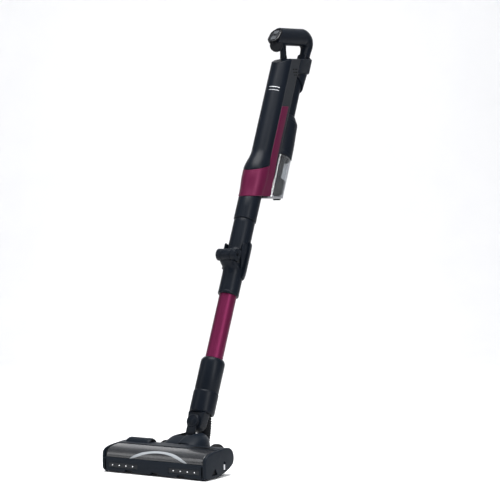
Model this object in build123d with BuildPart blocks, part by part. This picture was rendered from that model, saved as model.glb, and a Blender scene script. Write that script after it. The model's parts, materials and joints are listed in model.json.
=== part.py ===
from build123d import *
from math import asin, cos, degrees, radians, sin, tan
import os

# Cordless stick vacuum, millimetres and degrees.
# Floor frame: origin on the floor under the middle of the floor head, +X to the right,
# -Y forwards, +Z up. Everything above the neck pivot is drawn upright in a wand frame,
# +Z along the wand and +Y to the back, and is then leaned back about the pivot.

# --- stance and overall sizes ---
lean = 23.0
pivot_y = 77.0
pivot_z = 46.0
head_width = 261.0
running_gap = 0.4
fit_gap = 0.05

# --- floor head ---
head_front = -70.0
head_back = 32.0
head_top = 57.0
sole_z = 3.0
bumper_top = 31.0
bumper_depth = 8.0
cap_width = 6.0
shell_wall = 2.4
brush_y = -34.0
brush_z = 27.8
brush_radius = 22.3
core_radius = 16.0
brush_motor_radius = 14.0
brush_motor_y = 10.0
brush_motor_z = 35.0
brush_pulley_radius = 11.0
motor_pulley_radius = 5.5
belt_thick = 1.2
belt_width = 6.0
wheel_radius = 27.0
wheel_width = 14.0
wheel_x = 64.0
wheel_y = 64.0
axle_radius = 3.0
hood_half = 49.0
hood_top = 71.0
hood_back = 107.0
led_pitch = 17.3
led_first = 51.3
led_z = 16.0
led_radius = 1.5
led_centre = 77.0
led_panel_wide = 76.0
led_panel_high = 10.0
window_back = -22.0
window_thick = 2.2
arch_x = 11.0
arch_half = 72.5
arch_top = 49.5
arch_wide = 4.5
arch_taper = 9.0
lock_y = -3.0
lock_z = 22.0
lock_travel = 4.0
pod_left = -116.0
pod_right = -56.0
pod_y = 6.0
pod_z = 44.0
pod_radius = 18.0
belt_x = -113.0
motor_right = 20.0
bay_back = 101.0
bay_half = 36.0
sole_back = -2.0
brush_left = -106.0
brush_right = 118.0
bristle_rows = 6
slot_front = 42.0
slot_half = 17.0

# --- neck ---
trunnion_radius = 8.0
trunnion_reach = 29.0
swivel_t = 45.0
swivel_radius = 15.0
swivel_pin_radius = 4.0
swivel_front = -27.0
swivel_plate = 6.0
knuckle_mid_y = -12.0
neck_hose_radius = 12.0
neck_hose_top_y = 13.5
neck_hose_low_y = 29.0
neck_hose_low_t = 12.0
block_deep = 20.0
leg_half = 11.0

# --- wand ---
tube_radius = 19.0
tube_wall = 1.4
tube_bottom = 100.0
tube_top = 372.0
collar_radius = 26.3
collar_bottom = 67.0
collar_seam = 115.0
collar_top = 189.0
sleeve_radius = 23.0
sleeve_bore = 17.0
sleeve_bottom = 335.0
fold_t = 418.0
fold_y = -33.0
fold_radius = 13.5
fold_half = 24.0
fold_face = 436.0
fold_pin_radius = 3.0
upper_radius = 23.6
upper_seam = 512.0
upper_collar_radius = 25.2
air_radius = 16.5
spigot_radius = 17.0
spigot_top = 604.0
knuckle_mid = 11.5
flare_half = 19.0
cheek_half = 25.6
cheek_tip_y = -8.5
cheek_tip_drop = 20.5
release_half = 7.0
release_high = 16.0
release_thick = 6.0
release_inset = 1.8
release_pocket = 9.0
tube_release_inset = 0.6
release_t = 536.0
tube_release_t = 150.0
latch_plate_radius = 28.4
latch_plate_low = 380.0
latch_plate_top = 461.0
hose_radius = 14.5
hose_low = 378.0
hose_high = 486.0
cuff_high = 8.0

# --- hand unit ---
base_t = 572.0
block_top = 632.0
block_radius = 30.5
block_y = 3.0
cover_radius = 25.5
cover_y = 10.0
cover_flare_top = 674.0
seam_t = 632.0
seam_slope = 38.0
seam_y = 7.5
chassis_half = 26.0
chassis_back = 44.0
trim_top = 800.0
trim_thick = 1.2
body_wall = 2.2
column_y = 70.0
bin_radius = 32.5
bin_wall = 2.0
bin_top = 700.0
door_thick = 4.0
cap_radius = 33.5
cap_top = 786.0
cap_neck_top = 804.0
duct_radius = 19.0
duct_wall = 1.8
collar_low = 886.0
grip_slope = 28.0
body_top_n = 810.0
cover_low_n = 774.0
grip_n = 861.0
grip_radius = 20.4
grip_squeeze = 0.84
grip_back_g = 552.0
grip_front_g = 380.0
display_y = -42.0
display_t = 955.5
display_lean = 18.5
display_high = 44.0
display_wide = 31.0
front_post_g = 442.0
post_deep = 12.0
post_half = 6.5
spine_front_g = 521.0
spine_back = 106.0
spine_half = 12.5
rear_cover_half = 17.5
rear_cover_back = 98.0
grip_wall = 2.4
lid_g = 457.5
lid_long = 35.4
heel_n = 832.0
key_wide = 12.5
key_high = 11.0
key_gap = 0.25
key_spread = 9.5
nose_y = -29.0
nose_t = 938.0
nose_pad_radius = 15.2
cell_radius = 9.1
cell_long = 65.0
cell_levels = 3
cell_low = 653.0
cell_x = 9.3
cell_y = 2.0
plate_thick = 3.0
board_y = 14.0
motor_radius = 12.0
motor_y = 26.8
motor_low = 822.0
motor_top = 868.0
shaft_radius = 2.0
screen_radius = 19.0
screen_low = 640.0
screen_top = 736.0
seal_high = 2.0
latch_y = 104.5
latch_t = 640.0
latch_half = 9.0
pin_radius = 1.2
door_hinge_y = 30.5
door_half = 24.0
knuckle_half = 10.0
bracket_front = 14.0

wand = Plane(
    origin=(0, pivot_y, pivot_z),
    x_dir=(1, 0, 0),
    z_dir=(0, sin(radians(lean)), cos(radians(lean))),
)
grip_cos = cos(radians(grip_slope))
grip_sin = sin(radians(grip_slope))
unit_reach = 1000.0  # longer than the hand unit's covers, before they are cut


def save(piece, name):
    # a piece that is drawn in the floor frame
    piece.label = name
    export_step(piece, f"parts/{name}.step")


def save_leaning(piece, name):
    # a piece that is drawn upright along the wand
    placed = wand.location * piece
    save(placed, name)


def grip_point(g, n):
    # side view point from g along the grip and n square to it
    return (g * grip_cos - n * grip_sin, g * grip_sin + n * grip_cos)


def base_height(y):
    # the underside of the hand unit is level when the wand leans
    return base_t + y * tan(radians(lean))


def base_plane(lift=0.0):
    # the level underside of the hand unit, raised by lift
    return Plane(
        origin=(0, 0, base_t + lift),
        x_dir=(1, 0, 0),
        z_dir=(0, -sin(radians(lean)), cos(radians(lean))),
    )


def grip_plane(g):
    # a plane square to the grip, at g
    y, t = grip_point(g, 0)
    return Plane(origin=(0, y, t), x_dir=(1, 0, 0), z_dir=(0, grip_cos, grip_sin))


def slant_plane(n):
    # a plane along the grip, at height n, facing up
    y, t = grip_point(0, n)
    return Plane(origin=(0, y, t), x_dir=(1, 0, 0), z_dir=(0, -grip_sin, grip_cos))


def ring(radius, bore, low, high, y=0.0):
    # a round tube along the wand axis
    with BuildPart() as tube:
        with BuildSketch(Plane.XY.offset(low)):
            with Locations((0, y)):
                Circle(radius)
                if bore > 0:
                    Circle(bore, mode=Mode.SUBTRACT)
        extrude(amount=high - low)
    return tube.part


def side_prism(points, half):
    # a side view polygon, extruded both ways across X
    with BuildPart() as prism:
        with BuildSketch(Plane.YZ):
            Polygon(*points, align=None)
        extrude(amount=half, both=True)
    return prism.part


def cross_bar(radius, y, z, x_from, x_to, bore=0.0):
    # a round bar along X
    with BuildPart() as bar:
        with BuildSketch(Plane.YZ.offset(x_from)):
            with Locations((y, z)):
                Circle(radius)
                if bore > 0:
                    Circle(bore, mode=Mode.SUBTRACT)
        extrude(amount=x_to - x_from)
    return bar.part


os.makedirs("parts", exist_ok=True)

# ======== hand unit ========

# column recess that the dust bin and its cap nest in
recess = ring(cap_radius + running_gap, 0, base_t - 40, cap_neck_top + 6, column_y)


def cover_form(inset):
    # front form: round nosed, wide at the inlet block, flaring in to the cover
    with BuildPart() as form:
        with BuildSketch(Plane.XY.offset(base_t - 30)):
            with Locations((0, block_y)):
                Circle(block_radius - inset)
        extrude(amount=block_top - base_t + 30)
        with BuildSketch(Plane.XY.offset(block_top)):
            with Locations((0, block_y)):
                Circle(block_radius - inset)
        with BuildSketch(Plane.XY.offset(cover_flare_top)):
            with Locations((0, cover_y)):
                Circle(cover_radius - inset)
        loft()
        with BuildSketch(Plane.XY.offset(cover_flare_top)):
            with Locations((0, cover_y)):
                Circle(cover_radius - inset)
        extrude(amount=unit_reach - cover_flare_top)
        with Locations((0, seam_y + 50, (base_t - 30 + unit_reach) / 2)):
            Box(140, 100, unit_reach, mode=Mode.SUBTRACT)
    return form.part


def seam_plane(lift=0.0):
    # sloping seam between the inlet block and the front cover, raised by lift
    slope = radians(seam_slope)
    return Plane(origin=(0, -15, seam_t + lift), x_dir=(1, 0, 0), z_dir=(0, -sin(slope), cos(slope)))


with BuildPart() as front_cover:
    add(cover_form(0))
    add(cover_form(body_wall), mode=Mode.SUBTRACT)
    split(bisect_by=seam_plane(fit_gap), keep=Keep.TOP)
    split(bisect_by=slant_plane(body_top_n), keep=Keep.BOTTOM)
with BuildPart() as cover_crown:
    add(cover_form(body_wall + fit_gap))
    split(bisect_by=slant_plane(body_top_n - fit_gap), keep=Keep.BOTTOM)
    split(bisect_by=slant_plane(body_top_n - body_wall - 3), keep=Keep.TOP)
save_leaning(front_cover.part, "front_cover")

with BuildPart() as chassis:
    with BuildSketch(Plane.XY.offset(block_top)):
        with Locations((0, (seam_y + chassis_back) / 2)):
            Rectangle(2 * chassis_half, chassis_back - seam_y)
    extrude(amount=400)
    fillet(chassis.edges().filter_by(Axis.Z).group_by(Axis.Y)[-1], 4)
    with BuildSketch(Plane.XY.offset(block_top + body_wall)):
        with Locations((0, (seam_y + chassis_back) / 2 - body_wall)):
            Rectangle(2 * (chassis_half - body_wall), chassis_back - seam_y)
    extrude(amount=400, mode=Mode.SUBTRACT)
    split(bisect_by=slant_plane(body_top_n), keep=Keep.BOTTOM)
    add(recess, mode=Mode.SUBTRACT)
    # exhaust slots on both flanks, three rows that narrow downwards
    with BuildSketch(Plane.YZ):
        for row, count in enumerate((3, 2, 1)):
            for place in range(count):
                with Locations((26 + (place - (count - 1) / 2) * 9, 905 - row * 8)):
                    Rectangle(6, 3)
    extrude(amount=chassis_half + 5, both=True, mode=Mode.SUBTRACT)
save_leaning(chassis.part, "chassis")

# closing plates on top of the cover and of the chassis
with BuildPart() as top_plates:
    add(cover_crown.part)
    with BuildSketch(slant_plane(body_top_n - fit_gap)):
        with Locations((0, lid_g)):
            Rectangle(2 * (chassis_half - body_wall - fit_gap), lid_long)
    extrude(amount=-body_wall)
save_leaning(top_plates.part, "top_plates")

# burgundy stripe on each flank of the chassis
with BuildPart() as side_trims:
    with BuildSketch(Plane.YZ.offset(chassis_half)):
        Polygon(
            (seam_y + 0.5, block_top + running_gap),
            (36, block_top + running_gap),
            (31.5, 690),
            (32.5, trim_top + 12),
            (seam_y + 0.5, trim_top),
            align=None,
        )
    extrude(amount=trim_thick)
    mirror(about=Plane.YZ)
save_leaning(side_trims.part, "side_trims")

# inlet block: takes the wand spigot and turns the air back into the bin
with BuildPart() as inlet_block:
    add(cover_form(0))
    split(bisect_by=seam_plane(), keep=Keep.BOTTOM)
    with BuildSketch(Plane.XY.offset(base_t - 30)):
        with Locations((0, (seam_y + chassis_back - 4) / 2)):
            Rectangle(2 * (chassis_half + trim_thick), chassis_back - 4 - seam_y)
    extrude(amount=block_top - base_t + 30)
    split(bisect_by=base_plane(), keep=Keep.TOP)
    add(recess, mode=Mode.SUBTRACT)
    # hollow behind the cover's foot, and the air chamber above the socket
    with Locations((0, 0, block_top + 50 - body_wall)):
        Box(2 * (block_radius - 9), 2 * seam_y + 2, 100, mode=Mode.SUBTRACT)
    with BuildSketch(Plane.XY.offset(spigot_top)):
        Circle(spigot_radius + 5)
    extrude(amount=block_top - spigot_top - body_wall, mode=Mode.SUBTRACT)
    with BuildSketch(Plane.XY.offset(base_t - 30)):
        Circle(spigot_radius + fit_gap)
    extrude(amount=spigot_top - base_t + 30, mode=Mode.SUBTRACT)
    # port into the bin
    with Locations((0, 30, 617)):
        Box(20, 30, 16, mode=Mode.SUBTRACT)
save_leaning(inlet_block.part, "inlet_block")

# battery: two columns of round cells between spacer plates
with BuildPart() as battery_cells:
    for level in range(cell_levels):
        with BuildSketch(Plane.XY.offset(cell_low + level * (cell_long + plate_thick))):
            with Locations((-cell_x, cell_y), (cell_x, cell_y)):
                Circle(cell_radius)
        extrude(amount=cell_long)
save_leaning(battery_cells.part, "battery_cells")

with BuildPart() as cell_plates:
    for level in range(cell_levels + 1):
        low = cell_low - plate_thick + level * (cell_long + plate_thick)
        with BuildSketch(Plane.XY.offset(low)):
            with Locations((0, cover_y)):
                Circle(cover_radius - body_wall - 0.3)
            with Locations((0, cell_y + cell_radius + 50)):
                Rectangle(120, 100, mode=Mode.SUBTRACT)
        extrude(amount=plate_thick)

with BuildPart() as main_board:
    with Locations((0, board_y, 730)):
        Box(2 * (chassis_half - body_wall - 0.3), 1.6, 130)
    with Locations((-9, board_y + 4, 700), (9, board_y + 4, 700), (0, board_y + 4, 760)):
        Box(12, 8, 16)

# fan motor, axis along the wand, with a shroud round the impeller
with BuildPart() as motor_can:
    add(ring(motor_radius, 0, motor_low, motor_top, motor_y))
    add(ring(motor_radius, motor_radius - 1, motor_top, motor_top + 15, motor_y))
    add(ring(shaft_radius + fit_gap, 0, motor_top - 14, motor_top, motor_y), mode=Mode.SUBTRACT)
save_leaning(motor_can.part, "motor_can")

with BuildPart() as impeller:
    add(ring(shaft_radius, 0, motor_top - 13, motor_top + 12, motor_y))
    add(ring(motor_radius - 1.6, 0, motor_top + 1, motor_top + 3, motor_y))
    with Locations((0, motor_y, motor_top + 7)):
        with PolarLocations(6.6, 9):
            Box(8, 1, 9)
save_leaning(impeller.part, "impeller")

with BuildPart() as motor_seat:
    seat_low = board_y + 1.2
    seat_high = chassis_back - 2 * body_wall - 0.3
    with Locations((0, (seat_low + seat_high) / 2, motor_low + 20)):
        Box(2 * (chassis_half - body_wall - 0.3), seat_high - seat_low, 7)
    add(
        ring(motor_radius + fit_gap, 0, motor_low, motor_top, motor_y), mode=Mode.SUBTRACT
    )
with BuildPart() as inner_frames:
    add(cell_plates.part)
    add(motor_seat.part)
save_leaning(inner_frames.part, "inner_frames")

with BuildPart() as exhaust_filter:
    with Locations((chassis_half - body_wall - 1.3, 27, 897)):
        Box(2, 22, 34)
    mirror(about=Plane.YZ)

# slim duct up the back, its tapered collar and the boxy cover over its top
with BuildPart() as duct_tube:
    add(ring(duct_radius, duct_radius - duct_wall, cap_top + 3, 960, column_y))
    split(bisect_by=slant_plane(cover_low_n - 0.2), keep=Keep.BOTTOM)
save_leaning(duct_tube.part, "duct_tube")

with BuildPart() as duct_collar:
    with BuildSketch(Plane.XY.offset(collar_low)):
        with Locations((0, column_y)):
            Circle(duct_radius + 2)
    with BuildSketch(Plane.XY.offset(930)):
        with Locations((0, column_y + 1)):
            Circle(duct_radius + 9)
    loft()
    split(bisect_by=slant_plane(cover_low_n - 0.2), keep=Keep.BOTTOM)
    add(ring(duct_radius + fit_gap, 0, 800, 990, column_y), mode=Mode.SUBTRACT)
save_leaning(duct_collar.part, "duct_collar")

def rear_cover_form(inset):
    # side view between the chassis and the spine, level with the top of the chassis
    front = chassis_back + 0.2 + inset
    back = rear_cover_back - inset
    low = cover_low_n + inset
    high = body_top_n - inset
    corners = [(front, low), (back, low), (back, high), (front, high)]
    return side_prism(
        [(y, (n + y * grip_sin) / grip_cos) for y, n in corners], rear_cover_half - inset
    )


with BuildPart() as rear_cover:
    add(rear_cover_form(0))
    fillet(rear_cover.edges().filter_by(Axis.Z).group_by(Axis.Y)[-1], 6)
    add(rear_cover_form(body_wall), mode=Mode.SUBTRACT)
    # duct opening below
    add(ring(duct_radius - duct_wall - 2, 0, 860, 925, column_y), mode=Mode.SUBTRACT)
save_leaning(rear_cover.part, "rear_cover")

# cyclone cap over the bin, with a bulge for the filter catch
with BuildPart() as cyclone_cap:
    add(ring(cap_radius, 0, bin_top, cap_top, column_y))
    with BuildSketch(Plane.XY.offset(cap_top)):
        with Locations((0, column_y)):
            Circle(cap_radius)
    with BuildSketch(Plane.XY.offset(cap_neck_top)):
        with Locations((0, column_y)):
            Circle(duct_radius + 2.5)
    loft()
    add(ring(cap_radius - body_wall, 0, bin_top - 1, cap_top - 4, column_y), mode=Mode.SUBTRACT)
    add(ring(duct_radius - duct_wall - 1, 0, cap_top - 6, cap_top + 3, column_y), mode=Mode.SUBTRACT)
    add(ring(duct_radius + fit_gap, 0, cap_top + 3, cap_neck_top + 1, column_y), mode=Mode.SUBTRACT)
    with Locations((0, column_y + cap_radius - 0.6, 752)):
        Box(11, 3.4, 16)
save_leaning(cyclone_cap.part, "cyclone_cap")

with BuildPart() as cyclone_screen:
    add(ring(cap_radius - body_wall - 0.3, screen_radius - 1.5, screen_top, screen_top + 3, column_y))
    add(ring(screen_radius, screen_radius - 1.5, screen_low, screen_top, column_y))
    add(ring(screen_radius, 0, screen_low - 2, screen_low, column_y))
save_leaning(cyclone_screen.part, "cyclone_screen")

with BuildPart() as pre_filter:
    add(ring(cap_radius - body_wall - 0.4, 7, screen_top + 3, screen_top + 25, column_y))
with BuildPart() as filters:
    add(exhaust_filter.part)
    add(pre_filter.part)
save_leaning(filters.part, "filters")

with BuildPart() as bin_cup:
    add(ring(bin_radius, bin_radius - bin_wall, base_t, bin_top - seal_high, column_y))
    # ears for the latch pin
    with Locations((-latch_half - 1.7, latch_y - 2.5, latch_t), (latch_half + 1.7, latch_y - 2.5, latch_t)):
        Box(2.6, 12, 10)
    add(ring(bin_radius - bin_wall, 0, base_t, bin_top, column_y), mode=Mode.SUBTRACT)
    add(cross_bar(pin_radius + fit_gap, latch_y, latch_t, -20, 20), mode=Mode.SUBTRACT)
    split(bisect_by=base_plane(0.3), keep=Keep.TOP)
    with Locations((0, 30, 617)):
        Box(20, 30, 16, mode=Mode.SUBTRACT)
save_leaning(bin_cup.part, "bin_cup")

with BuildPart() as bin_seal:
    add(ring(bin_radius - 0.1, bin_radius - bin_wall + 0.1, bin_top - seal_high, bin_top, column_y))
save_leaning(bin_seal.part, "bin_seal")

# bin door: hangs from a pin under the inlet block
door_hinge_z = base_height(door_hinge_y) - door_thick / 2 / cos(radians(lean))
with BuildPart() as bin_door:
    with BuildSketch(Plane.XY.offset(base_t - 40)):
        with Locations((0, column_y)):
            Circle(bin_radius)
        with Locations((0, (door_hinge_y + 2.5 + column_y) / 2)):
            Rectangle(2 * door_half, column_y - door_hinge_y - 2.5)
    extrude(amount=120)
    split(bisect_by=base_plane(), keep=Keep.BOTTOM)
    split(bisect_by=base_plane(-door_thick), keep=Keep.TOP)
    add(cross_bar(door_thick / 2, door_hinge_y, door_hinge_z, -knuckle_half, knuckle_half))
    with Locations((0, door_hinge_y + 2, door_hinge_z + 0.8)):
        Box(2 * knuckle_half, 3.6, 2)
    add(
        cross_bar(pin_radius + fit_gap, door_hinge_y, door_hinge_z, -40, 40),
        mode=Mode.SUBTRACT,
    )
save_leaning(bin_door.part, "bin_door")

with BuildPart() as door_bracket:
    with BuildSketch(Plane.XY.offset(base_t - 40)):
        with Locations((0, (bracket_front + door_hinge_y + 1) / 2)):
            Rectangle(2 * door_half, door_hinge_y + 1 - bracket_front)
        Circle(upper_collar_radius + 0.4, mode=Mode.SUBTRACT)
        with Locations((0, door_hinge_y + 1)):
            Rectangle(2 * (knuckle_half + running_gap), 8, mode=Mode.SUBTRACT)
    extrude(amount=120)
    split(bisect_by=base_plane(), keep=Keep.BOTTOM)
    split(bisect_by=base_plane(-door_thick), keep=Keep.TOP)
    add(
        cross_bar(pin_radius, door_hinge_y, door_hinge_z, -knuckle_half - 6, knuckle_half + 6),
        mode=Mode.SUBTRACT,
    )
save_leaning(door_bracket.part, "door_bracket")

with BuildPart() as bin_pins:
    add(cross_bar(pin_radius, door_hinge_y, door_hinge_z, -knuckle_half - 6, knuckle_half + 6))
    add(cross_bar(pin_radius, latch_y, latch_t, -latch_half - 2.6, latch_half + 2.6))

# latch: a lever on the back of the bin that hooks under the door
latch_low = base_height(latch_y)
with BuildPart() as bin_latch:
    add(
        side_prism(
            [
                (latch_y - 0.9, latch_t + 8),
                (latch_y + 3.6, latch_t + 8),
                (latch_y + 4.4, latch_low - 6),
                (latch_y - 3.5, latch_low - 9.4),
                (latch_y - 3.5, latch_low - 6.4),
                (latch_y - 0.9, latch_low - 5),
            ],
            latch_half,
        )
    )
    add(cross_bar(pin_radius + fit_gap, latch_y, latch_t, -20, 20), mode=Mode.SUBTRACT)
save_leaning(bin_latch.part, "bin_latch")

# --- handle ---
end_y, end_t = grip_point(grip_back_g, grip_n)


def grip_form(inset):
    # oval barrel of the grip with its rounded back end
    across = grip_radius * grip_squeeze - inset
    deep = grip_radius - inset
    with BuildPart() as form:
        with BuildSketch(grip_plane(grip_front_g)):
            with Locations((0, -grip_n)):
                Ellipse(across, deep)
        extrude(amount=grip_back_g - grip_front_g)
        with BuildSketch(Plane.XY.offset(end_t)):
            with Locations((0, end_y)):
                Ellipse(across, deep)
            with Locations((0, end_y - deep / 2)):
                Rectangle(2 * across, deep, mode=Mode.SUBTRACT)
        revolve(axis=Axis((0, end_y, end_t), (1, 0, 0)))
    return form.part


def grip_heel(inset):
    # the grip turns down at its back, over the spine
    with BuildPart() as form:
        with BuildSketch(Plane.XY.offset(end_t - 60)):
            with Locations((0, end_y + 3)):
                Ellipse((grip_radius - 0.5) * grip_squeeze - inset, grip_radius - 0.5 - inset)
        extrude(amount=60)
        split(bisect_by=slant_plane(heel_n + inset), keep=Keep.TOP)
    return form.part


def face_plane(lift=0.0):
    # a plane along the display face, lifted towards the user
    slope = radians(display_lean)
    return Plane(
        origin=(0, display_y - lift * cos(slope), display_t + lift * sin(slope)),
        x_dir=(1, 0, 0),
        z_dir=(0, -cos(slope), sin(slope)),
    )


with BuildPart() as grip_shell:
    add(grip_form(0))
    add(grip_heel(0))
    add(grip_form(grip_wall), mode=Mode.SUBTRACT)
    split(bisect_by=face_plane(), keep=Keep.BOTTOM)
save_leaning(grip_shell.part, "grip_shell")

with BuildPart() as front_post:
    with BuildSketch(slant_plane(body_top_n + fit_gap)):
        with Locations((0, front_post_g)):
            RectangleRounded(2 * post_half, post_deep, 3)
    extrude(amount=grip_n - body_top_n)
    add(grip_form(0), mode=Mode.SUBTRACT)

with BuildPart() as rear_spine:
    add(
        side_prism(
            [
                grip_point(spine_front_g - 3, body_top_n + fit_gap),
                grip_point(spine_front_g + 20, grip_n),
                (spine_back, end_t),
                (spine_back, (body_top_n + fit_gap + spine_back * grip_sin) / grip_cos),
            ],
            spine_half,
        )
    )
    add(grip_form(0), mode=Mode.SUBTRACT)
    add(grip_heel(0), mode=Mode.SUBTRACT)
    # keep only what stands below the heel
    split(bisect_by=slant_plane(heel_n + 14), keep=Keep.BOTTOM)
with BuildPart() as handle_posts:
    add(front_post.part)
    add(rear_spine.part)
save_leaning(handle_posts.part, "handle_posts")

# display: oval bezel with a lens and two keys that press towards the grip
with BuildPart() as display_bezel:
    with BuildSketch(face_plane()):
        SlotOverall(display_high, display_wide, rotation=90)
        SlotOverall(display_high - 5, display_wide - 5, rotation=90, mode=Mode.SUBTRACT)
    extrude(amount=2.5)
save_leaning(display_bezel.part, "display_bezel")

with BuildPart() as display_lens:
    with BuildSketch(face_plane()):
        SlotOverall(display_high - 5.1, display_wide - 5.1, rotation=90)
        with Locations((0, key_spread), (0, -key_spread)):
            RectangleRounded(key_wide + 2 * key_gap, key_high + 2 * key_gap, 3.2, mode=Mode.SUBTRACT)
    extrude(amount=1.5)
save_leaning(display_lens.part, "display_lens")


def display_key(height):
    # a rounded key with a stem that reaches its switch
    with BuildPart() as key:
        with BuildSketch(face_plane(-1.5)):
            with Locations((0, height)):
                RectangleRounded(key_wide, key_high, 3)
        extrude(amount=4.5)
        with BuildSketch(face_plane(-4)):
            with Locations((0, height)):
                Circle(1.5)
        extrude(amount=3)
    return key.part


save_leaning(display_key(key_spread), "power_button")
save_leaning(display_key(-key_spread), "mode_button")

with BuildPart() as display_board:
    with BuildSketch(face_plane(-5.2)):
        SlotOverall(32, 22, rotation=90)
    extrude(amount=-1.6)
    # posts that hold the board behind the lens
    with BuildSketch(face_plane(-5.2)):
        with Locations((-9, 0), (9, 0)):
            Circle(1.2)
    extrude(amount=5.2)
with BuildPart() as circuit_boards:
    add(main_board.part)
    add(display_board.part)
save_leaning(circuit_boards.part, "circuit_boards")

with BuildPart() as nose_pad:
    with Locations((0, nose_y, nose_t)):
        Sphere(nose_pad_radius)
    add(grip_form(0), mode=Mode.SUBTRACT)
    split(bisect_by=Plane.XY.offset(nose_t + 10), keep=Keep.BOTTOM)
save_leaning(nose_pad.part, "nose_pad")

# ======== wand ========

with BuildPart() as upper_wand:
    # collar under the inlet block, then the slimmer barrel
    add(ring(upper_collar_radius, 0, upper_seam, base_t + 40))
    split(bisect_by=base_plane(-0.3), keep=Keep.BOTTOM)
    add(ring(upper_radius, 0, fold_face, upper_seam))
    add(ring(spigot_radius, 0, upper_seam, spigot_top - 0.3))
    # web that reaches forward to the fold knuckles
    add(
        side_prism(
            [
                (fold_y - fold_radius * 0.7, fold_t + fold_radius * 0.7),
                (fold_y - 2, fold_t + fold_radius + 0.6),
                (-upper_radius - 4, fold_face + 1),
                (-upper_radius + 0.4, fold_face + 17),
                (-upper_radius + 9, fold_face + 17),
                (-upper_radius + 9, fold_face),
                (-sleeve_radius - running_gap, fold_face),
                (-sleeve_radius - running_gap, fold_t),
                (fold_y, fold_t),
            ],
            fold_half,
        )
    )
    # pointed cheeks beside the lower sleeve
    for side in (-1, 1):
        with BuildSketch(Plane.YZ.offset(side * (sleeve_radius + running_gap))):
            Polygon(
                (-17, fold_face + 14),
                (-1, fold_face + 14),
                (-1, fold_face),
                (cheek_tip_y, fold_t - cheek_tip_drop),
                (-15, fold_face),
                align=None,
            )
        extrude(amount=side * (cheek_half - sleeve_radius - running_gap))
    add(cross_bar(fold_radius, fold_y, fold_t, -fold_half, fold_half))
    # room for the lower sleeve and its middle knuckle
    add(ring(sleeve_radius + running_gap, 0, fold_t - 40, fold_face), mode=Mode.SUBTRACT)
    add(
        cross_bar(
            fold_radius + running_gap, fold_y, fold_t, -knuckle_mid - running_gap, knuckle_mid + running_gap
        ),
        mode=Mode.SUBTRACT,
    )
    with Locations((0, -sleeve_radius, fold_t - 20)):
        Box(2 * (knuckle_mid + running_gap), 2 * sleeve_radius, 40, mode=Mode.SUBTRACT)
    add(ring(spigot_radius - 2, 0, 500, 640), mode=Mode.SUBTRACT)
    add(ring(air_radius, 0, fold_face - 1, 500.1), mode=Mode.SUBTRACT)
    add(cross_bar(fold_pin_radius, fold_y, fold_t, -30, 30), mode=Mode.SUBTRACT)
    # pocket for the release button at the back of the collar
    with Locations((0, upper_collar_radius - release_inset, release_t)):
        Box(2 * release_half + 0.6, release_pocket, release_high + 0.6, mode=Mode.SUBTRACT)
save_leaning(upper_wand.part, "upper_wand")

with BuildPart() as wand_release:
    with Locations((0, upper_collar_radius - release_inset, release_t)):
        Box(2 * release_half, release_thick, release_high)
    fillet(wand_release.edges().filter_by(Axis.Y), 2)
save_leaning(wand_release.part, "wand_release")

with BuildPart() as hinge_pins:
    add(bin_pins.part)
    add(cross_bar(fold_pin_radius, fold_y, fold_t, -fold_half - 0.6, fold_half + 0.6))
save_leaning(hinge_pins.part, "hinge_pins")

# fold latch: a half sleeve round the back of the joint that slides down to let it fold
with BuildPart() as fold_latch:
    with BuildSketch(Plane.XZ):
        Polygon(
            (sleeve_radius + running_gap, latch_plate_low),
            (sleeve_radius + 2.4, latch_plate_low - 2),
            (latch_plate_radius - 0.6, latch_plate_low + 9),
            (latch_plate_radius, latch_plate_low + 40),
            (latch_plate_radius, latch_plate_top - 4),
            (latch_plate_radius - 1.6, latch_plate_top),
            (upper_radius + running_gap, latch_plate_top),
            (upper_radius + running_gap, fold_face - 2),
            (sleeve_radius + running_gap, fold_face - 3),
            align=None,
        )
    revolve(axis=Axis.Z, revolution_arc=180)
save_leaning(fold_latch.part, "fold_latch")

with BuildPart() as lower_sleeve:
    add(ring(sleeve_radius, 0, sleeve_bottom, fold_face - running_gap))
    # front of the sleeve flares out to the knuckle
    add(
        side_prism(
            [
                (fold_y + 2, fold_t - fold_radius + 0.5),
                (fold_y + 6, fold_t - fold_radius - 5),
                (-sleeve_radius - 0.4, fold_t - fold_radius - 24),
                (-sleeve_radius + 7, fold_t - fold_radius - 34),
                (-sleeve_radius + 7, fold_t + 6),
                (fold_y + 2, fold_t),
            ],
            flare_half,
        )
    )
    for side in (-1, 1):
        relief_from = min(side * (fold_half + 3), side * knuckle_mid)
        relief_to = max(side * (fold_half + 3), side * knuckle_mid)
        add(
            cross_bar(fold_radius + running_gap, fold_y, fold_t, relief_from, relief_to),
            mode=Mode.SUBTRACT,
        )
        with Locations(((relief_from + relief_to) / 2, -sleeve_radius - 10, fold_t + 20)):
            Box(relief_to - relief_from, 20, 40, mode=Mode.SUBTRACT)
    add(cross_bar(fold_radius, fold_y, fold_t, -knuckle_mid, knuckle_mid))
    add(ring(sleeve_bore, 0, sleeve_bottom, fold_face + 1), mode=Mode.SUBTRACT)
    add(ring(tube_radius + fit_gap, 0, sleeve_bottom - 1, tube_top + 0.1), mode=Mode.SUBTRACT)
    add(cross_bar(fold_pin_radius + fit_gap, fold_y, fold_t, -30, 30), mode=Mode.SUBTRACT)
save_leaning(lower_sleeve.part, "lower_sleeve")

with BuildPart() as wand_tube:
    add(ring(tube_radius, tube_radius - tube_wall, tube_bottom, tube_top))
save_leaning(wand_tube.part, "wand_tube")

with BuildPart() as flex_hose:
    add(ring(hose_radius, hose_radius - 1.5, hose_low, hose_high))
    # cuffs that hold its ends
    add(ring(air_radius - fit_gap, hose_radius - 1, hose_high - cuff_high, hose_high))
    add(ring(sleeve_bore - fit_gap, hose_radius - 1, hose_low, hose_low + cuff_high))
save_leaning(flex_hose.part, "flex_hose")

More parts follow.
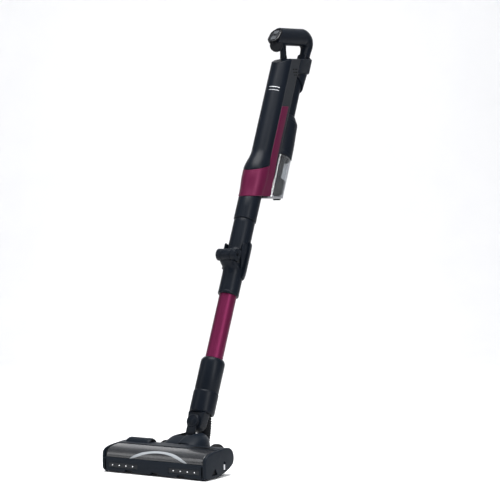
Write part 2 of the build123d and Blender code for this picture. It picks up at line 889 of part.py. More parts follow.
with BuildPart() as lower_collar:
    with BuildSketch(Plane.YZ):
        with BuildLine():
            Polyline(
                (17, collar_bottom),
                (collar_radius + 1, collar_bottom),
                (collar_radius + 1, collar_seam),
                (collar_radius + 0.2, collar_seam + 0.8),
                (collar_radius, collar_top - 7),
                (collar_radius - 4.5, collar_top),
                (tube_radius + fit_gap, collar_top),
                (tube_radius + fit_gap, tube_bottom - 0.1),
                (17, tube_bottom - 0.1),
                close=True,
            )
        make_face()
    revolve(axis=Axis.Z)
    with Locations((0, collar_radius - tube_release_inset, tube_release_t)):
        Box(2 * release_half + 0.6, release_pocket, release_high + 6.6, mode=Mode.SUBTRACT)
    # boss for the swivel block below
    with Locations((0, knuckle_mid_y, collar_bottom + 3)):
        Box(26, 14, 6)
    add(ring(tube_radius - tube_wall, 0, collar_bottom + 6, tube_bottom), mode=Mode.SUBTRACT)
    add(ring(neck_hose_radius + 1, 0, 60, collar_bottom + 8, neck_hose_top_y + 0.6), mode=Mode.SUBTRACT)
save_leaning(lower_collar.part, "lower_collar")

with BuildPart() as tube_release:
    with Locations((0, collar_radius - tube_release_inset, tube_release_t)):
        Box(2 * release_half, release_thick, release_high + 6)
    fillet(tube_release.edges().filter_by(Axis.Y), 2)
save_leaning(tube_release.part, "tube_release")

# ======== neck ========

# swivel block: fixed under the lower collar, turns on a pin that points forwards
with BuildPart() as swivel_block:
    with BuildSketch(Plane.XZ.offset(-swivel_front - swivel_plate - running_gap)):
        with Locations((0, swivel_t)):
            Circle(swivel_radius)
        with Locations((0, (swivel_t + collar_bottom) / 2)):
            Rectangle(2 * swivel_radius - 4, collar_bottom - swivel_t)
    extrude(amount=-block_deep)
    with BuildSketch(Plane.XZ.offset(-swivel_front)):
        with Locations((0, swivel_t)):
            Circle(swivel_pin_radius + fit_gap)
    extrude(amount=-40, mode=Mode.SUBTRACT)
save_leaning(swivel_block.part, "swivel_block")

# neck yoke: round plate in front, leg, and the trunnions of the pitch joint
with BuildPart() as neck_yoke:
    with BuildSketch(Plane.XZ.offset(-swivel_front)):
        with Locations((0, swivel_t)):
            Circle(swivel_radius)
        with Locations((0, swivel_t / 2 + 2)):
            Rectangle(2 * leg_half, swivel_t - 8)
    extrude(amount=-swivel_plate)
    add(
        side_prism(
            [
                (swivel_front, 20),
                (swivel_front + swivel_plate, 26),
                (swivel_front + swivel_plate + 2, 20),
                (-2, 9),
                (trunnion_radius, 4),
                (trunnion_radius - 1, -5),
                (-4, -trunnion_radius + 1),
                (swivel_front + 4, 2),
                (swivel_front, 8),
            ],
            leg_half,
        )
    )
    with BuildSketch(Plane.XZ.offset(-swivel_front)):
        with Locations((0, swivel_t)):
            Circle(swivel_pin_radius)
    extrude(amount=-(swivel_plate + block_deep + 2))
    add(cross_bar(trunnion_radius, 0, 0, -trunnion_reach, trunnion_reach))
save_leaning(neck_yoke.part, "neck_yoke")

# air hose behind the neck, from the collar down into the hood
with BuildPart() as neck_hose:
    for radius, mode in ((neck_hose_radius, Mode.ADD), (neck_hose_radius - 1.5, Mode.SUBTRACT)):
        with BuildSketch(Plane.XY.offset(collar_bottom + 5)):
            with Locations((0, neck_hose_top_y)):
                Circle(radius)
        with BuildSketch(Plane.XY.offset(neck_hose_low_t)):
            with Locations((0, neck_hose_low_y)):
                Circle(radius)
        loft(mode=mode)
save_leaning(neck_hose.part, "neck_hose")

# ======== floor head ========

cap_inner = head_width / 2 - cap_width
head_side = [
    (head_front, sole_z + 1),
    (head_front, bumper_top + 2),
    (-66, 44),
    (-56, 51),
    (-30, 55.4),
    (8, head_top),
    (20, 54.5),
    (28, 47),
    (head_back, 35),
    (28, 22),
    (16, 13),
    (-12, 5),
    (-50, 1.2),
    (-64, 1.2),
]


window_side = [
    (head_front + 3.5, bumper_top - 2),
    (head_front + 4, 38),
    (-61.5, 45.5),
    (-54, 50),
    (-45, 52.4),
    (-34, 53.8),
    (window_back - 0.3, 55.0),
]


def hood_form(inset):
    # domed hood: side view, plan and front view, each extruded, and what they share
    with BuildPart() as form:
        with BuildSketch(Plane.YZ.offset(-hood_half + inset)):
            Polygon(
                (head_back + 0.4 - 2 * inset, 10.2 - inset),
                (head_back + 0.4 - 2 * inset, 40),
                (24, 53),
                (14, head_top + 0.2 - inset / 2),
                (30, 65 - inset),
                (50, hood_top - inset),
                (84, hood_top - inset),
                (98, 61 - inset / 2),
                (hood_back - inset, 40),
                (hood_back - 3 - inset, 10.2 - inset),
                align=None,
            )
        extrude(amount=2 * (hood_half - inset))
        with BuildSketch(Plane.XY):
            Polygon(
                (inset - hood_half, 0),
                (inset - hood_half, 58),
                (inset - 39.5, 77),
                (inset - 30.5, 90),
                (inset - 20.5, 103),
                (inset - 12, hood_back - inset),
                (12 - inset, hood_back - inset),
                (20.5 - inset, 103),
                (30.5 - inset, 90),
                (39.5 - inset, 77),
                (hood_half - inset, 58),
                (hood_half - inset, 0),
                align=None,
            )
        extrude(amount=100, mode=Mode.INTERSECT)
        with BuildSketch(Plane.XZ):
            Polygon(
                (inset - hood_half, 0),
                (inset - hood_half, 54 - inset),
                (inset - 40, 63 - inset),
                (inset - 24, hood_top - inset),
                (24 - inset, hood_top - inset),
                (40 - inset, 63 - inset),
                (hood_half - inset, 54 - inset),
                (hood_half - inset, 0),
                align=None,
            )
        extrude(amount=-130, mode=Mode.INTERSECT)
    return form.part


def cap_outline():
    # side view of an end cap
    with BuildSketch() as outline:
        with BuildLine():
            Spline(*head_side[1:12])
            Polyline(*head_side[11:], head_side[0], head_side[1])
        make_face()
    return outline.sketch


with BuildPart() as end_cap_right:
    with BuildSketch(Plane.YZ.offset(cap_inner + fit_gap)):
        add(cap_outline())
    extrude(amount=cap_width - fit_gap)
    # finger recess and the slot of the lock
    with BuildSketch(Plane.YZ.offset(head_width / 2)):
        Polygon((-48, 7.5), (-27, 7.5), (-37, 21), align=None)
        with Locations((lock_y, lock_z)):
            Rectangle(7, lock_travel + 16)
    extrude(amount=-3, mode=Mode.SUBTRACT)
    # bore for the end bearing of the brush
    add(cross_bar(7.1, brush_y, brush_z, cap_inner - 1, cap_inner + 2.5), mode=Mode.SUBTRACT)

with BuildPart() as end_cap_left:
    with BuildSketch(Plane.YZ.offset(-head_width / 2)):
        add(cap_outline())
    extrude(amount=cap_width - fit_gap)
    add(cross_bar(7.1, brush_y, brush_z, -cap_inner - 2.5, -cap_inner + 1), mode=Mode.SUBTRACT)
with BuildPart() as end_caps:
    add(end_cap_left.part)
    add(end_cap_right.part)
save(end_caps.part, "end_caps")

with BuildPart() as cap_lock:
    with Locations((head_width / 2 - 1.1, lock_y, lock_z - lock_travel / 2)):
        Box(2.8, 5, 11)
save(cap_lock.part, "cap_lock")


def housing_outline():
    # side view of the head's back shell, from the window's back edge round to the sole
    with BuildSketch() as outline:
        with BuildLine():
            Polyline((window_back, 53.6), (window_back, 55.4), (4, head_top))
            Spline((4, head_top), (20, 54.5), (head_back, 36), tangents=((1, 0), (0.1, -1)))
            Polyline((head_back, 36), (head_back, 22), (16, 13), (4, sole_z + 4.1))
            Polyline((4, sole_z + 4.1), (brush_y + 29, sole_z + 4.1), (brush_y + 29, 36))
            Polyline((brush_y + 29, 36), (window_back, 53.6))
        make_face()
    return outline.sketch


with BuildPart() as head_housing:
    with BuildSketch(Plane.YZ.offset(-cap_inner)):
        add(housing_outline())
    extrude(amount=2 * cap_inner)
    # rounded pod over the brush motor
    with BuildSketch(Plane.YZ.offset(pod_left)):
        with Locations((pod_y, pod_z)):
            Circle(pod_radius)
        with Locations((pod_y, pod_z - 50)):
            Rectangle(200, 92, mode=Mode.SUBTRACT)
    extrude(amount=pod_right - pod_left)
    add(cross_bar(brush_radius + 2, brush_y, brush_z, -cap_inner - 1, cap_inner + 1), mode=Mode.SUBTRACT)
    # bay for the brush motor and its belt, open to the left
    add(
        cross_bar(brush_motor_radius + 0.2, brush_motor_y, brush_motor_z, -cap_inner - 1, motor_right + 0.1),
        mode=Mode.SUBTRACT,
    )
    with Locations(((belt_x - cap_inner) / 2 + 3, (brush_y + brush_motor_y) / 2, 32)):
        Box(cap_inner + belt_x + 8, brush_motor_y - brush_y, 27, mode=Mode.SUBTRACT)
    # throat from the brush chamber to the neck hose
    with Locations((0, 14, 28)):
        Box(44, 60, 22, mode=Mode.SUBTRACT)
save(head_housing.part, "head_housing")


def window_curve(outward):
    # side view points of the window's curve, moved outwards along its normal
    points = [Vector(*point) for point in window_side]
    moved = []
    for index, point in enumerate(points):
        before = points[max(index - 1, 0)]
        after = points[min(index + 1, len(points) - 1)]
        along = (after - before).normalized()
        moved.append((point.X - along.Y * outward, point.Y + along.X * outward))
    return moved


def window_band(inner, outer):
    # a strip between two copies of the window's curve, across the head
    with BuildPart() as band:
        with BuildSketch(Plane.YZ.offset(-cap_inner + 2)):
            with BuildLine():
                low = Spline(*window_curve(inner))
                high = Spline(*window_curve(outer))
                Line(low @ 0, high @ 0)
                Line(low @ 1, high @ 1)
            make_face()
        extrude(amount=2 * cap_inner - 4)
        with Locations((0, head_front, bumper_top - 24.9)):
            Box(2 * head_width, 100, 50, mode=Mode.SUBTRACT)
    return band.part


# clear window over the brush
window = window_band(-window_thick, 0)
save(window, "window")

# pale arch across the window
with BuildPart() as window_arch:
    with BuildSketch(Plane.XZ.offset(-brush_y)):
        with BuildLine():
            arch_low = bumper_top + 1
            arch_from = arch_x - arch_half
            arch_to = arch_x + arch_half
            ThreePointArc((arch_from, arch_low), (arch_x, arch_top), (arch_to, arch_low))
            Line((arch_to, arch_low), (arch_to - arch_taper, arch_low))
            ThreePointArc(
                (arch_to - arch_taper, arch_low),
                (arch_x, arch_top - arch_wide),
                (arch_from + arch_taper, arch_low),
            )
            Line((arch_from + arch_taper, arch_low), (arch_from, arch_low))
        make_face()
    extrude(amount=40)
    add(window_band(0.02, 0.7), mode=Mode.INTERSECT)
save(window_arch.part, "window_arch")

# bumper bar with three raised gaps underneath and a panel recess at each end
with BuildPart() as bumper:
    with Locations((0, head_front + bumper_depth / 2, (sole_z + bumper_top) / 2)):
        Box(2 * cap_inner - 0.2, bumper_depth, bumper_top - sole_z)
    fillet(bumper.edges().filter_by(Axis.X).group_by(Axis.Y)[0].sort_by(Axis.Z)[-1:], 2)
    for gap_x in (-66, 0, 66):
        with Locations((gap_x, head_front, sole_z)):
            Box(18, 60, 6, mode=Mode.SUBTRACT)
    for side in (-1, 1):
        with Locations((side * led_centre, head_front, led_z)):
            Box(led_panel_wide, 3, led_panel_high, mode=Mode.SUBTRACT)
save(bumper.part, "bumper")

with BuildPart() as led_panels:
    for side in (-1, 1):
        with Locations((side * led_centre, head_front + 0.9, led_z)):
            Box(led_panel_wide - 0.3, 1.0, led_panel_high - 0.3)
save(led_panels.part, "led_panels")

with BuildPart() as led_lamps:
    with BuildSketch(Plane.XZ.offset(-head_front - 0.4)):
        for side in (-1, 1):
            for place in range(4):
                with Locations((side * (led_first + place * led_pitch), led_z)):
                    Circle(led_radius)
    extrude(amount=0.3)
save(led_lamps.part, "led_lamps")

# sole: a frame round the brush opening, and the floor of the neck bay
with BuildPart() as sole_plate:
    with Locations((0, (head_front + bumper_depth + 0.2 + sole_back) / 2, sole_z + 2)):
        Box(2 * cap_inner - 0.4, sole_back - head_front - bumper_depth - 0.2, 4)
    with Locations((0, brush_y, sole_z)):
        Box(2 * cap_inner - 12, 40, 20, mode=Mode.SUBTRACT)
    with BuildSketch(Plane.XY.offset(sole_z)):
        Polygon(
            (-bay_half, sole_back - 2),
            (-bay_half, 70),
            (-27, 88),
            (-17, bay_back),
            (17, bay_back),
            (27, 88),
            (bay_half, 70),
            (bay_half, sole_back - 2),
            align=None,
        )
    extrude(amount=4)
    for bar_x in (-84, -42, 0, 42, 84):
        with Locations((bar_x, brush_y, sole_z + 0.7)):
            Box(3, 40.2, 1.4)
save(sole_plate.part, "sole_plate")

# felt glides, the middle one under the frame's origin
with BuildPart() as glide_pads:
    with Locations((-88, -7, sole_z / 2), (88, -7, sole_z / 2)):
        Box(24, 8, sole_z)
    with Locations((0, 0, sole_z / 2)):
        Box(24, 16, sole_z)
save(glide_pads.part, "glide_pads")

# hood over the neck joint
with BuildPart() as hood:
    add(hood_form(0))
    add(hood_form(shell_wall), mode=Mode.SUBTRACT)
    # slot that the neck swings through
    with Locations((0, (slot_front + 130) / 2, 60)):
        Box(2 * slot_half, 130 - slot_front, 90, mode=Mode.SUBTRACT)
    add(cross_bar(axle_radius + 0.2, wheel_y, wheel_radius, -60, 60), mode=Mode.SUBTRACT)
    with BuildSketch(Plane.YZ.offset(-cap_inner)):
        add(housing_outline())
    extrude(amount=2 * cap_inner, mode=Mode.SUBTRACT)
save(hood.part, "hood")

# bearings of the neck trunnions, standing on the floor of the neck bay
with BuildPart() as trunnion_bearings:
    for side in (-1, 1):
        block_x = side * (slot_half + 3 + trunnion_reach) / 2
        with Locations((block_x, pivot_y, (sole_z + 4 + pivot_z + 10) / 2)):
            Box(trunnion_reach - slot_half - 3, 19, pivot_z + 10 - sole_z - 4)
    add(
        cross_bar(trunnion_radius + fit_gap, pivot_y, pivot_z, -hood_half, hood_half),
        mode=Mode.SUBTRACT,
    )

# rear wheels on one axle through the neck bay
with BuildPart() as wheel_axle:
    reach = wheel_x + wheel_width / 2 + 1.5
    add(cross_bar(axle_radius, wheel_y, wheel_radius, -reach, reach))
    for side in (-1, 1):
        head_from = min(side * reach, side * (reach + 1.5))
        add(cross_bar(5, wheel_y, wheel_radius, head_from, head_from + 1.5))
save(wheel_axle.part, "wheel_axle")


def wheel(side):
    # one wheel with a rounded tread and a bore for the axle
    with BuildPart() as round_wheel:
        with BuildSketch(Plane.YZ.offset(side * wheel_x - wheel_width / 2)):
            with Locations((wheel_y, wheel_radius)):
                Circle(wheel_radius)
                Circle(axle_radius + fit_gap, mode=Mode.SUBTRACT)
        extrude(amount=wheel_width)
        fillet(round_wheel.edges().filter_by(GeomType.CIRCLE).sort_by(SortBy.RADIUS)[-2:], 3)
    return round_wheel.part


save(wheel(-1), "wheel_left")
save(wheel(1), "wheel_right")

# brush: core with stub axles and a belt pulley, and its bristle rows
with BuildPart() as brush_core:
    add(cross_bar(core_radius, brush_y, brush_z, brush_left, brush_right))
    add(cross_bar(3.5, brush_y, brush_z, -cap_inner - 2.3, cap_inner + 2.3))
    add(cross_bar(brush_pulley_radius, brush_y, brush_z, belt_x - 4, belt_x + 4))
save(brush_core.part, "brush_core")

with BuildPart() as brush_bristles:
    for row in range(bristle_rows):
        turn = 360 / bristle_rows * row
        with BuildSketch(Plane.YZ.offset(brush_left + 2)):
            with Locations((brush_y, brush_z)):
                with Locations(Location((0, 0), turn)):
                    with Locations(((core_radius + brush_radius) / 2, 0)):
                        Rectangle(brush_radius - core_radius + 1, 3)
                Circle(core_radius, mode=Mode.SUBTRACT)
        extrude(amount=brush_right - brush_left - 4)
save(brush_bristles.part, "brush_bristles")

with BuildPart() as brush_bearings:
    for side in (-1, 1):
        low = min(side * (cap_inner - 2), side * (cap_inner + 2.4))
        add(cross_bar(7, brush_y, brush_z, low, low + 4.4, 3.5 + fit_gap))
with BuildPart() as head_bearings:
    add(brush_bearings.part)
    add(trunnion_bearings.part)
save(head_bearings.part, "head_bearings")

with BuildPart() as brush_motor:
    add(cross_bar(brush_motor_radius, brush_motor_y, brush_motor_z, belt_x + 12, motor_right))
    add(
        cross_bar(shaft_radius + fit_gap, brush_motor_y, brush_motor_z, belt_x + 11, belt_x + 20),
        mode=Mode.SUBTRACT,
    )
save(brush_motor.part, "brush_motor")

with BuildPart() as motor_pulley:
    add(cross_bar(motor_pulley_radius, brush_motor_y, brush_motor_z, belt_x - 4, belt_x + 4))
    add(cross_bar(shaft_radius, brush_motor_y, brush_motor_z, belt_x, belt_x + 19))
save(motor_pulley.part, "motor_pulley")


def belt_loop(growth):
    # side view of the loop round both pulleys: two discs and their outer tangents
    run_y = brush_motor_y - brush_y
    run_z = brush_motor_z - brush_z
    span = (run_y**2 + run_z**2) ** 0.5
    heading = degrees(asin(run_z / span))
    wrap = degrees(asin((brush_pulley_radius - motor_pulley_radius) / span))
    big = brush_pulley_radius + growth
    small = motor_pulley_radius + growth
    corners = []
    for sign in (1, -1):
        normal = radians(heading + sign * (90 - wrap))
        near = (brush_y + big * cos(normal), brush_z + big * sin(normal))
        far = (brush_motor_y + small * cos(normal), brush_motor_z + small * sin(normal))
        corners += [near, far] if sign == 1 else [far, near]
    with BuildSketch() as loop:
        Polygon(*corners, align=None)
        with Locations((brush_y, brush_z)):
            Circle(big)
        with Locations((brush_motor_y, brush_motor_z)):
            Circle(small)
    return loop.sketch


with BuildPart() as drive_belt:
    with BuildSketch(Plane.YZ.offset(belt_x - belt_width / 2)):
        add(belt_loop(0.1 + belt_thick))
        add(belt_loop(0.1), mode=Mode.SUBTRACT)
    extrude(amount=belt_width)
save(drive_belt.part, "drive_belt")
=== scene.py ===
import json
import math

import bmesh
import bpy
import numpy as np
from mathutils import Matrix


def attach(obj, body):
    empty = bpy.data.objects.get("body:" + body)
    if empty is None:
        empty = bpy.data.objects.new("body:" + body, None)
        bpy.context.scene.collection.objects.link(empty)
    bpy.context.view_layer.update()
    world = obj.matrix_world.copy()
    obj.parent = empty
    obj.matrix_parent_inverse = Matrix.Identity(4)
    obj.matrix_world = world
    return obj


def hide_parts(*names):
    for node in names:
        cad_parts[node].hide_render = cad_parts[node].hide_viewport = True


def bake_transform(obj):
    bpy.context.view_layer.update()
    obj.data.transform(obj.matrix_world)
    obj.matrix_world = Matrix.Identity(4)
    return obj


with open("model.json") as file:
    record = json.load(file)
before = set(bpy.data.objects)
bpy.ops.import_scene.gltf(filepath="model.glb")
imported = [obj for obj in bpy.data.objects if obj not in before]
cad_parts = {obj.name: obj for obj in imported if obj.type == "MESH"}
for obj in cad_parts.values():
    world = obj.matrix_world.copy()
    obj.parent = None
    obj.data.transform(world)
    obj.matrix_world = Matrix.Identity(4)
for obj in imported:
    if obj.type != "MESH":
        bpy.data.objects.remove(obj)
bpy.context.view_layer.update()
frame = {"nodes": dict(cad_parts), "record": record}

rng = np.random.default_rng(7)

# the wand leans back about the neck pivot; millimetres and degrees
stance = {"lean": 23.0, "pivotY": 77.0, "pivotZ": 46.0, "gripSlope": 28.0}
leanCos, leanSin = math.cos(math.radians(stance["lean"])), math.sin(math.radians(stance["lean"]))
gripCos, gripSin = math.cos(math.radians(stance["gripSlope"])), math.sin(math.radians(stance["gripSlope"]))
millimetre = 0.001
bodyTop = 810.0


def place(points, leaning):
    # millimetres to metres; a leaning point (across, back, along) turns back about the pivot:
    # y = pivot + back cos + along sin, z = pivot - back sin + along cos
    points = np.asarray(points, float)
    if leaning:
        across, back, along = points[..., 0], points[..., 1], points[..., 2]
        points = np.stack(
            [
                across,
                stance["pivotY"] + back * leanCos + along * leanSin,
                stance["pivotZ"] - back * leanSin + along * leanCos,
            ],
            -1,
        )
    return points * millimetre


def gripSpot(run, rise):
    # (back, along) of a point run along the grip's slope and rise square to it
    return np.stack([run * gripCos - rise * gripSin, run * gripSin + rise * gripCos], -1)


def smooth(share):
    # eases from 0 to 1: 3 s squared less 2 s cubed, held at both ends
    share = np.clip(share, 0.0, 1.0)
    return share * share * (3 - 2 * share)


def softened(corners, radii, steps=7):
    # closed outline: each corner becomes a parabola arc between points one radius away on its two sides
    corners = np.asarray(corners, float)
    radii = np.broadcast_to(np.asarray(radii, float), (len(corners),))
    before, after = np.roll(corners, 1, 0) - corners, np.roll(corners, -1, 0) - corners
    lengthBefore, lengthAfter = np.linalg.norm(before, axis=1), np.linalg.norm(after, axis=1)
    reach = np.minimum(radii, 0.49 * np.minimum(lengthBefore, lengthAfter))
    start = corners + before / lengthBefore[:, None] * reach[:, None]
    end = corners + after / lengthAfter[:, None] * reach[:, None]
    s = np.linspace(0, 1, steps)[None, :, None]
    arcs = (1 - s) ** 2 * start[:, None] + 2 * s * (1 - s) * corners[:, None] + s**2 * end[:, None]
    return arcs.reshape(-1, 2)


def splined(points, count, closed=False):
    # a smooth line through the points: Catmull-Rom cubics, sampled evenly in each span
    points = np.asarray(points, float)
    if closed:
        padded = np.concatenate([points[-1:], points, points[:2]])
    else:
        padded = np.concatenate([2 * points[:1] - points[1:2], points, 2 * points[-1:] - points[-2:-1]])
    spans = len(padded) - 3
    at = np.linspace(0, spans, count, endpoint=not closed)
    first = np.minimum(at.astype(int), spans - 1)
    s = (at - first)[:, None]
    a, b, c, d = (padded[first + k] for k in range(4))
    return 0.5 * (2 * b + (c - a) * s + (2 * a - 5 * b + 4 * c - d) * s**2 + (3 * b - a - 3 * c + d) * s**3)


def shrunk(outline, inset):
    # a closed outline moved inwards along its own normals
    ahead, behind = np.roll(outline, -1, 0), np.roll(outline, 1, 0)
    tangent = ahead - behind
    tangent /= np.maximum(np.linalg.norm(tangent, axis=1), 1e-9)[:, None]
    turn = np.sum(outline[:, 0] * ahead[:, 1] - ahead[:, 0] * outline[:, 1])
    return outline - np.sign(turn) * inset * np.stack([tangent[:, 1], -tangent[:, 0]], -1)


def slab(outline, low, high, edge=1.5, steps=4):
    # a side outline carried across from low to high; at both ends it shrinks by edge (1 - cos a)
    # while it moves by edge (1 - sin a), which rounds the rim
    angle = np.linspace(math.pi / 2, 0, steps + 1)
    inset = edge * (1 - np.cos(angle))
    move = edge * (1 - np.sin(angle))
    rows = [(low + m, i) for m, i in zip(move, inset)] + [(high - m, i) for m,
                                                          i in zip(move[::-1], inset[::-1])]
    flat = [shrunk(outline, i) for across, i in rows]
    return np.stack([np.column_stack([np.full(len(f), row[0]), f]) for row, f in zip(rows, flat)])


def slabPair(outline, low, high, edge=1.5, steps=4):
    # the same slab on the right and on the left
    return [slab(outline, low, high, edge, steps), slab(outline, -high, -low, edge, steps)]


def turned(profile, centre, axis=(0, 0, 1), start=(1, 0, 0), turns=64, arc=(0, 360)):
    # a profile of (radius, height) turned round an axis:
    # centre + height axis + radius (cos a start + sin a side)
    profile = np.asarray(profile, float)
    axis, start = np.asarray(axis, float), np.asarray(start, float)
    side = np.cross(axis, start)
    whole = arc[1] - arc[0] >= 360
    angle = np.radians(np.linspace(arc[0], arc[1], turns, endpoint=not whole))
    ring = np.cos(angle)[:, None] * start + np.sin(angle)[:, None] * side
    return np.asarray(centre, float) + profile[:, None, 1:2] * axis + profile[:, None, 0:1] * ring[None]


def ovalRing(halfAcross, halfBack, centreBack, along, turns=64, power=2.0):
    # a level oval: across = a |cos|^(2/p), back = b |sin|^(2/p), with the signs kept
    angle = np.linspace(0, 2 * math.pi, turns, endpoint=False)
    c, s = np.cos(angle), np.sin(angle)
    x = halfAcross * np.sign(c) * np.abs(c) ** (2 / power)
    v = centreBack + halfBack * np.sign(s) * np.abs(s) ** (2 / power)
    return np.stack([x, v, np.broadcast_to(along, x.shape)], -1)


def swept(path, normals, across, deep, turns=48, power=2.0):
    # an oval section carried along a side path: point + a cos across X + b sin along the path's normal
    angle = np.linspace(0, 2 * math.pi, turns, endpoint=False)
    c, s = np.cos(angle), np.sin(angle)
    c, s = (np.sign(k) * np.abs(k) ** (2 / power) for k in (c, s))
    path, normals = np.asarray(path, float), np.asarray(normals, float)
    across, deep = (np.broadcast_to(np.asarray(k, float), (len(path),)) for k in (across, deep))
    x = across[:, None] * c[None]
    side = path[:, None, :] + deep[:, None, None] * s[None, :, None] * normals[:, None, :]
    return np.concatenate([x[..., None], side], -1)


def pathNormals(path):
    # unit normals of a side path, a quarter turn from its central differences
    tangent = np.gradient(np.asarray(path, float), axis=0)
    tangent /= np.linalg.norm(tangent, axis=1)[:, None]
    return np.stack([-tangent[:, 1], tangent[:, 0]], -1)


def piece(name, shells, body, look, leaning=True, sharp=38.0, stands=(), closed=True, wrap=True):
    # each shell is a grid of rows by columns closed round its columns: quads join neighbours, and one
    # many-sided face closes the first and last row
    corners, faces, count = [], [], 0
    for shell in shells:
        grid = np.asarray(shell, float)
        rows, columns = grid.shape[:2]
        index = count + np.arange(rows * columns).reshape(rows, columns)
        near, far = (index, np.roll(index, -1, axis=1)) if wrap else (index[:, :-1], index[:, 1:])
        faces += np.stack([near[:-1], far[:-1], far[1:], near[1:]], -1).reshape(-1, 4).tolist()
        if closed:
            faces += [index[0, ::-1].tolist(), index[-1].tolist()]
        corners.append(place(grid, leaning).reshape(-1, 3))
        count += rows * columns
    mesh = bpy.data.meshes.new(name)
    mesh.from_pydata(np.concatenate(corners).tolist(), [], faces)
    work = bmesh.new()
    work.from_mesh(mesh)
    bmesh.ops.remove_doubles(work, verts=work.verts, dist=2e-6)
    bmesh.ops.dissolve_degenerate(work, edges=work.edges, dist=1e-6)
    if wrap:
        bmesh.ops.recalc_face_normals(work, faces=work.faces)
    work.to_mesh(mesh)
    work.free()
    mesh.polygons.foreach_set("use_smooth", np.ones(len(mesh.polygons), bool))
    mesh.set_sharp_from_angle(angle=math.radians(sharp))
    mesh.materials.append(finish[look])
    thing = bpy.data.objects.new(name, mesh)
    bpy.context.scene.collection.objects.link(thing)
    if body:
        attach(thing, body)
    if stands:
        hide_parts(*stands)
    return thing


class Wire:
    # wraps a socket, so that sums and products add their own Math nodes, whichever side the number is on
    def __init__(self, shader, socket):
        self.shader, self.socket = shader, socket

    def maths(self, operation, a, b):
        return self.shader.node("ShaderNodeMath", {"operation": operation}, {0: a, 1: b})

    def __add__(self, other):
        return self.maths("ADD", self, other)

    def __radd__(self, other):
        return self.maths("ADD", other, self)

    def __sub__(self, other):
        return self.maths("SUBTRACT", self, other)

    def __rsub__(self, other):
        return self.maths("SUBTRACT", other, self)

    def __mul__(self, other):
        return self.maths("MULTIPLY", self, other)

    def __rmul__(self, other):
        return self.maths("MULTIPLY", other, self)

    def power(self, other):
        return self.maths("POWER", self, other)


class Shader:
    def __init__(self, name):
        self.material = bpy.data.materials.new(name)
        self.material.use_nodes = True
        self.tree = self.material.node_tree
        self.surface = self.tree.nodes["Principled BSDF"]
        self.spot = self.node("ShaderNodeTexCoord", {}, {}, "Object")

    def node(self, kind, settings, values, out=0):
        # one node: its settings first, then a number, colour or wire for each socket
        made = self.tree.nodes.new(kind)
        for key, value in settings.items():
            if key == "stops":
                for at, (position, colour) in enumerate(value):
                    stop = made.color_ramp.elements[at] if at < 2 else made.color_ramp.elements.new(position)
                    stop.position, stop.color = position, (*colour, 1)
            else:
                setattr(made, key, value)
        self.feed(made, values)
        return Wire(self, made.outputs[out])

    def feed(self, made, values):
        for key, value in values.items():
            if isinstance(value, Wire):
                self.tree.links.new(value.socket, made.inputs[key])
            elif isinstance(value, tuple) and len(value) == 3 and made.inputs[key].type == "RGBA":
                made.inputs[key].default_value = (*value, 1)
            else:
                made.inputs[key].default_value = value

    def noise(self, scale, detail=3.0, stretch=(1, 1, 1), turn=(0, 0, 0)):
        spot = self.spot
        if stretch != (1, 1, 1) or turn != (0, 0, 0):
            spot = self.node(
                "ShaderNodeMapping", {}, {"Vector": self.spot, "Scale": stretch, "Rotation": turn}
            )
        return self.node("ShaderNodeTexNoise", {}, {"Vector": spot, "Scale": scale, "Detail": detail},
                         "Fac")

    def mix(self, share, a, b):
        return self.node("ShaderNodeMix", {"data_type": "RGBA"}, {0: share, 6: a, 7: b}, 2)

    def bump(self, height, strength, distance):
        return self.node(
            "ShaderNodeBump", {}, {"Strength": strength, "Distance": distance, "Height": height}, "Normal"
        )

    def done(self, values):
        self.feed(self.surface, values)
        return self.material


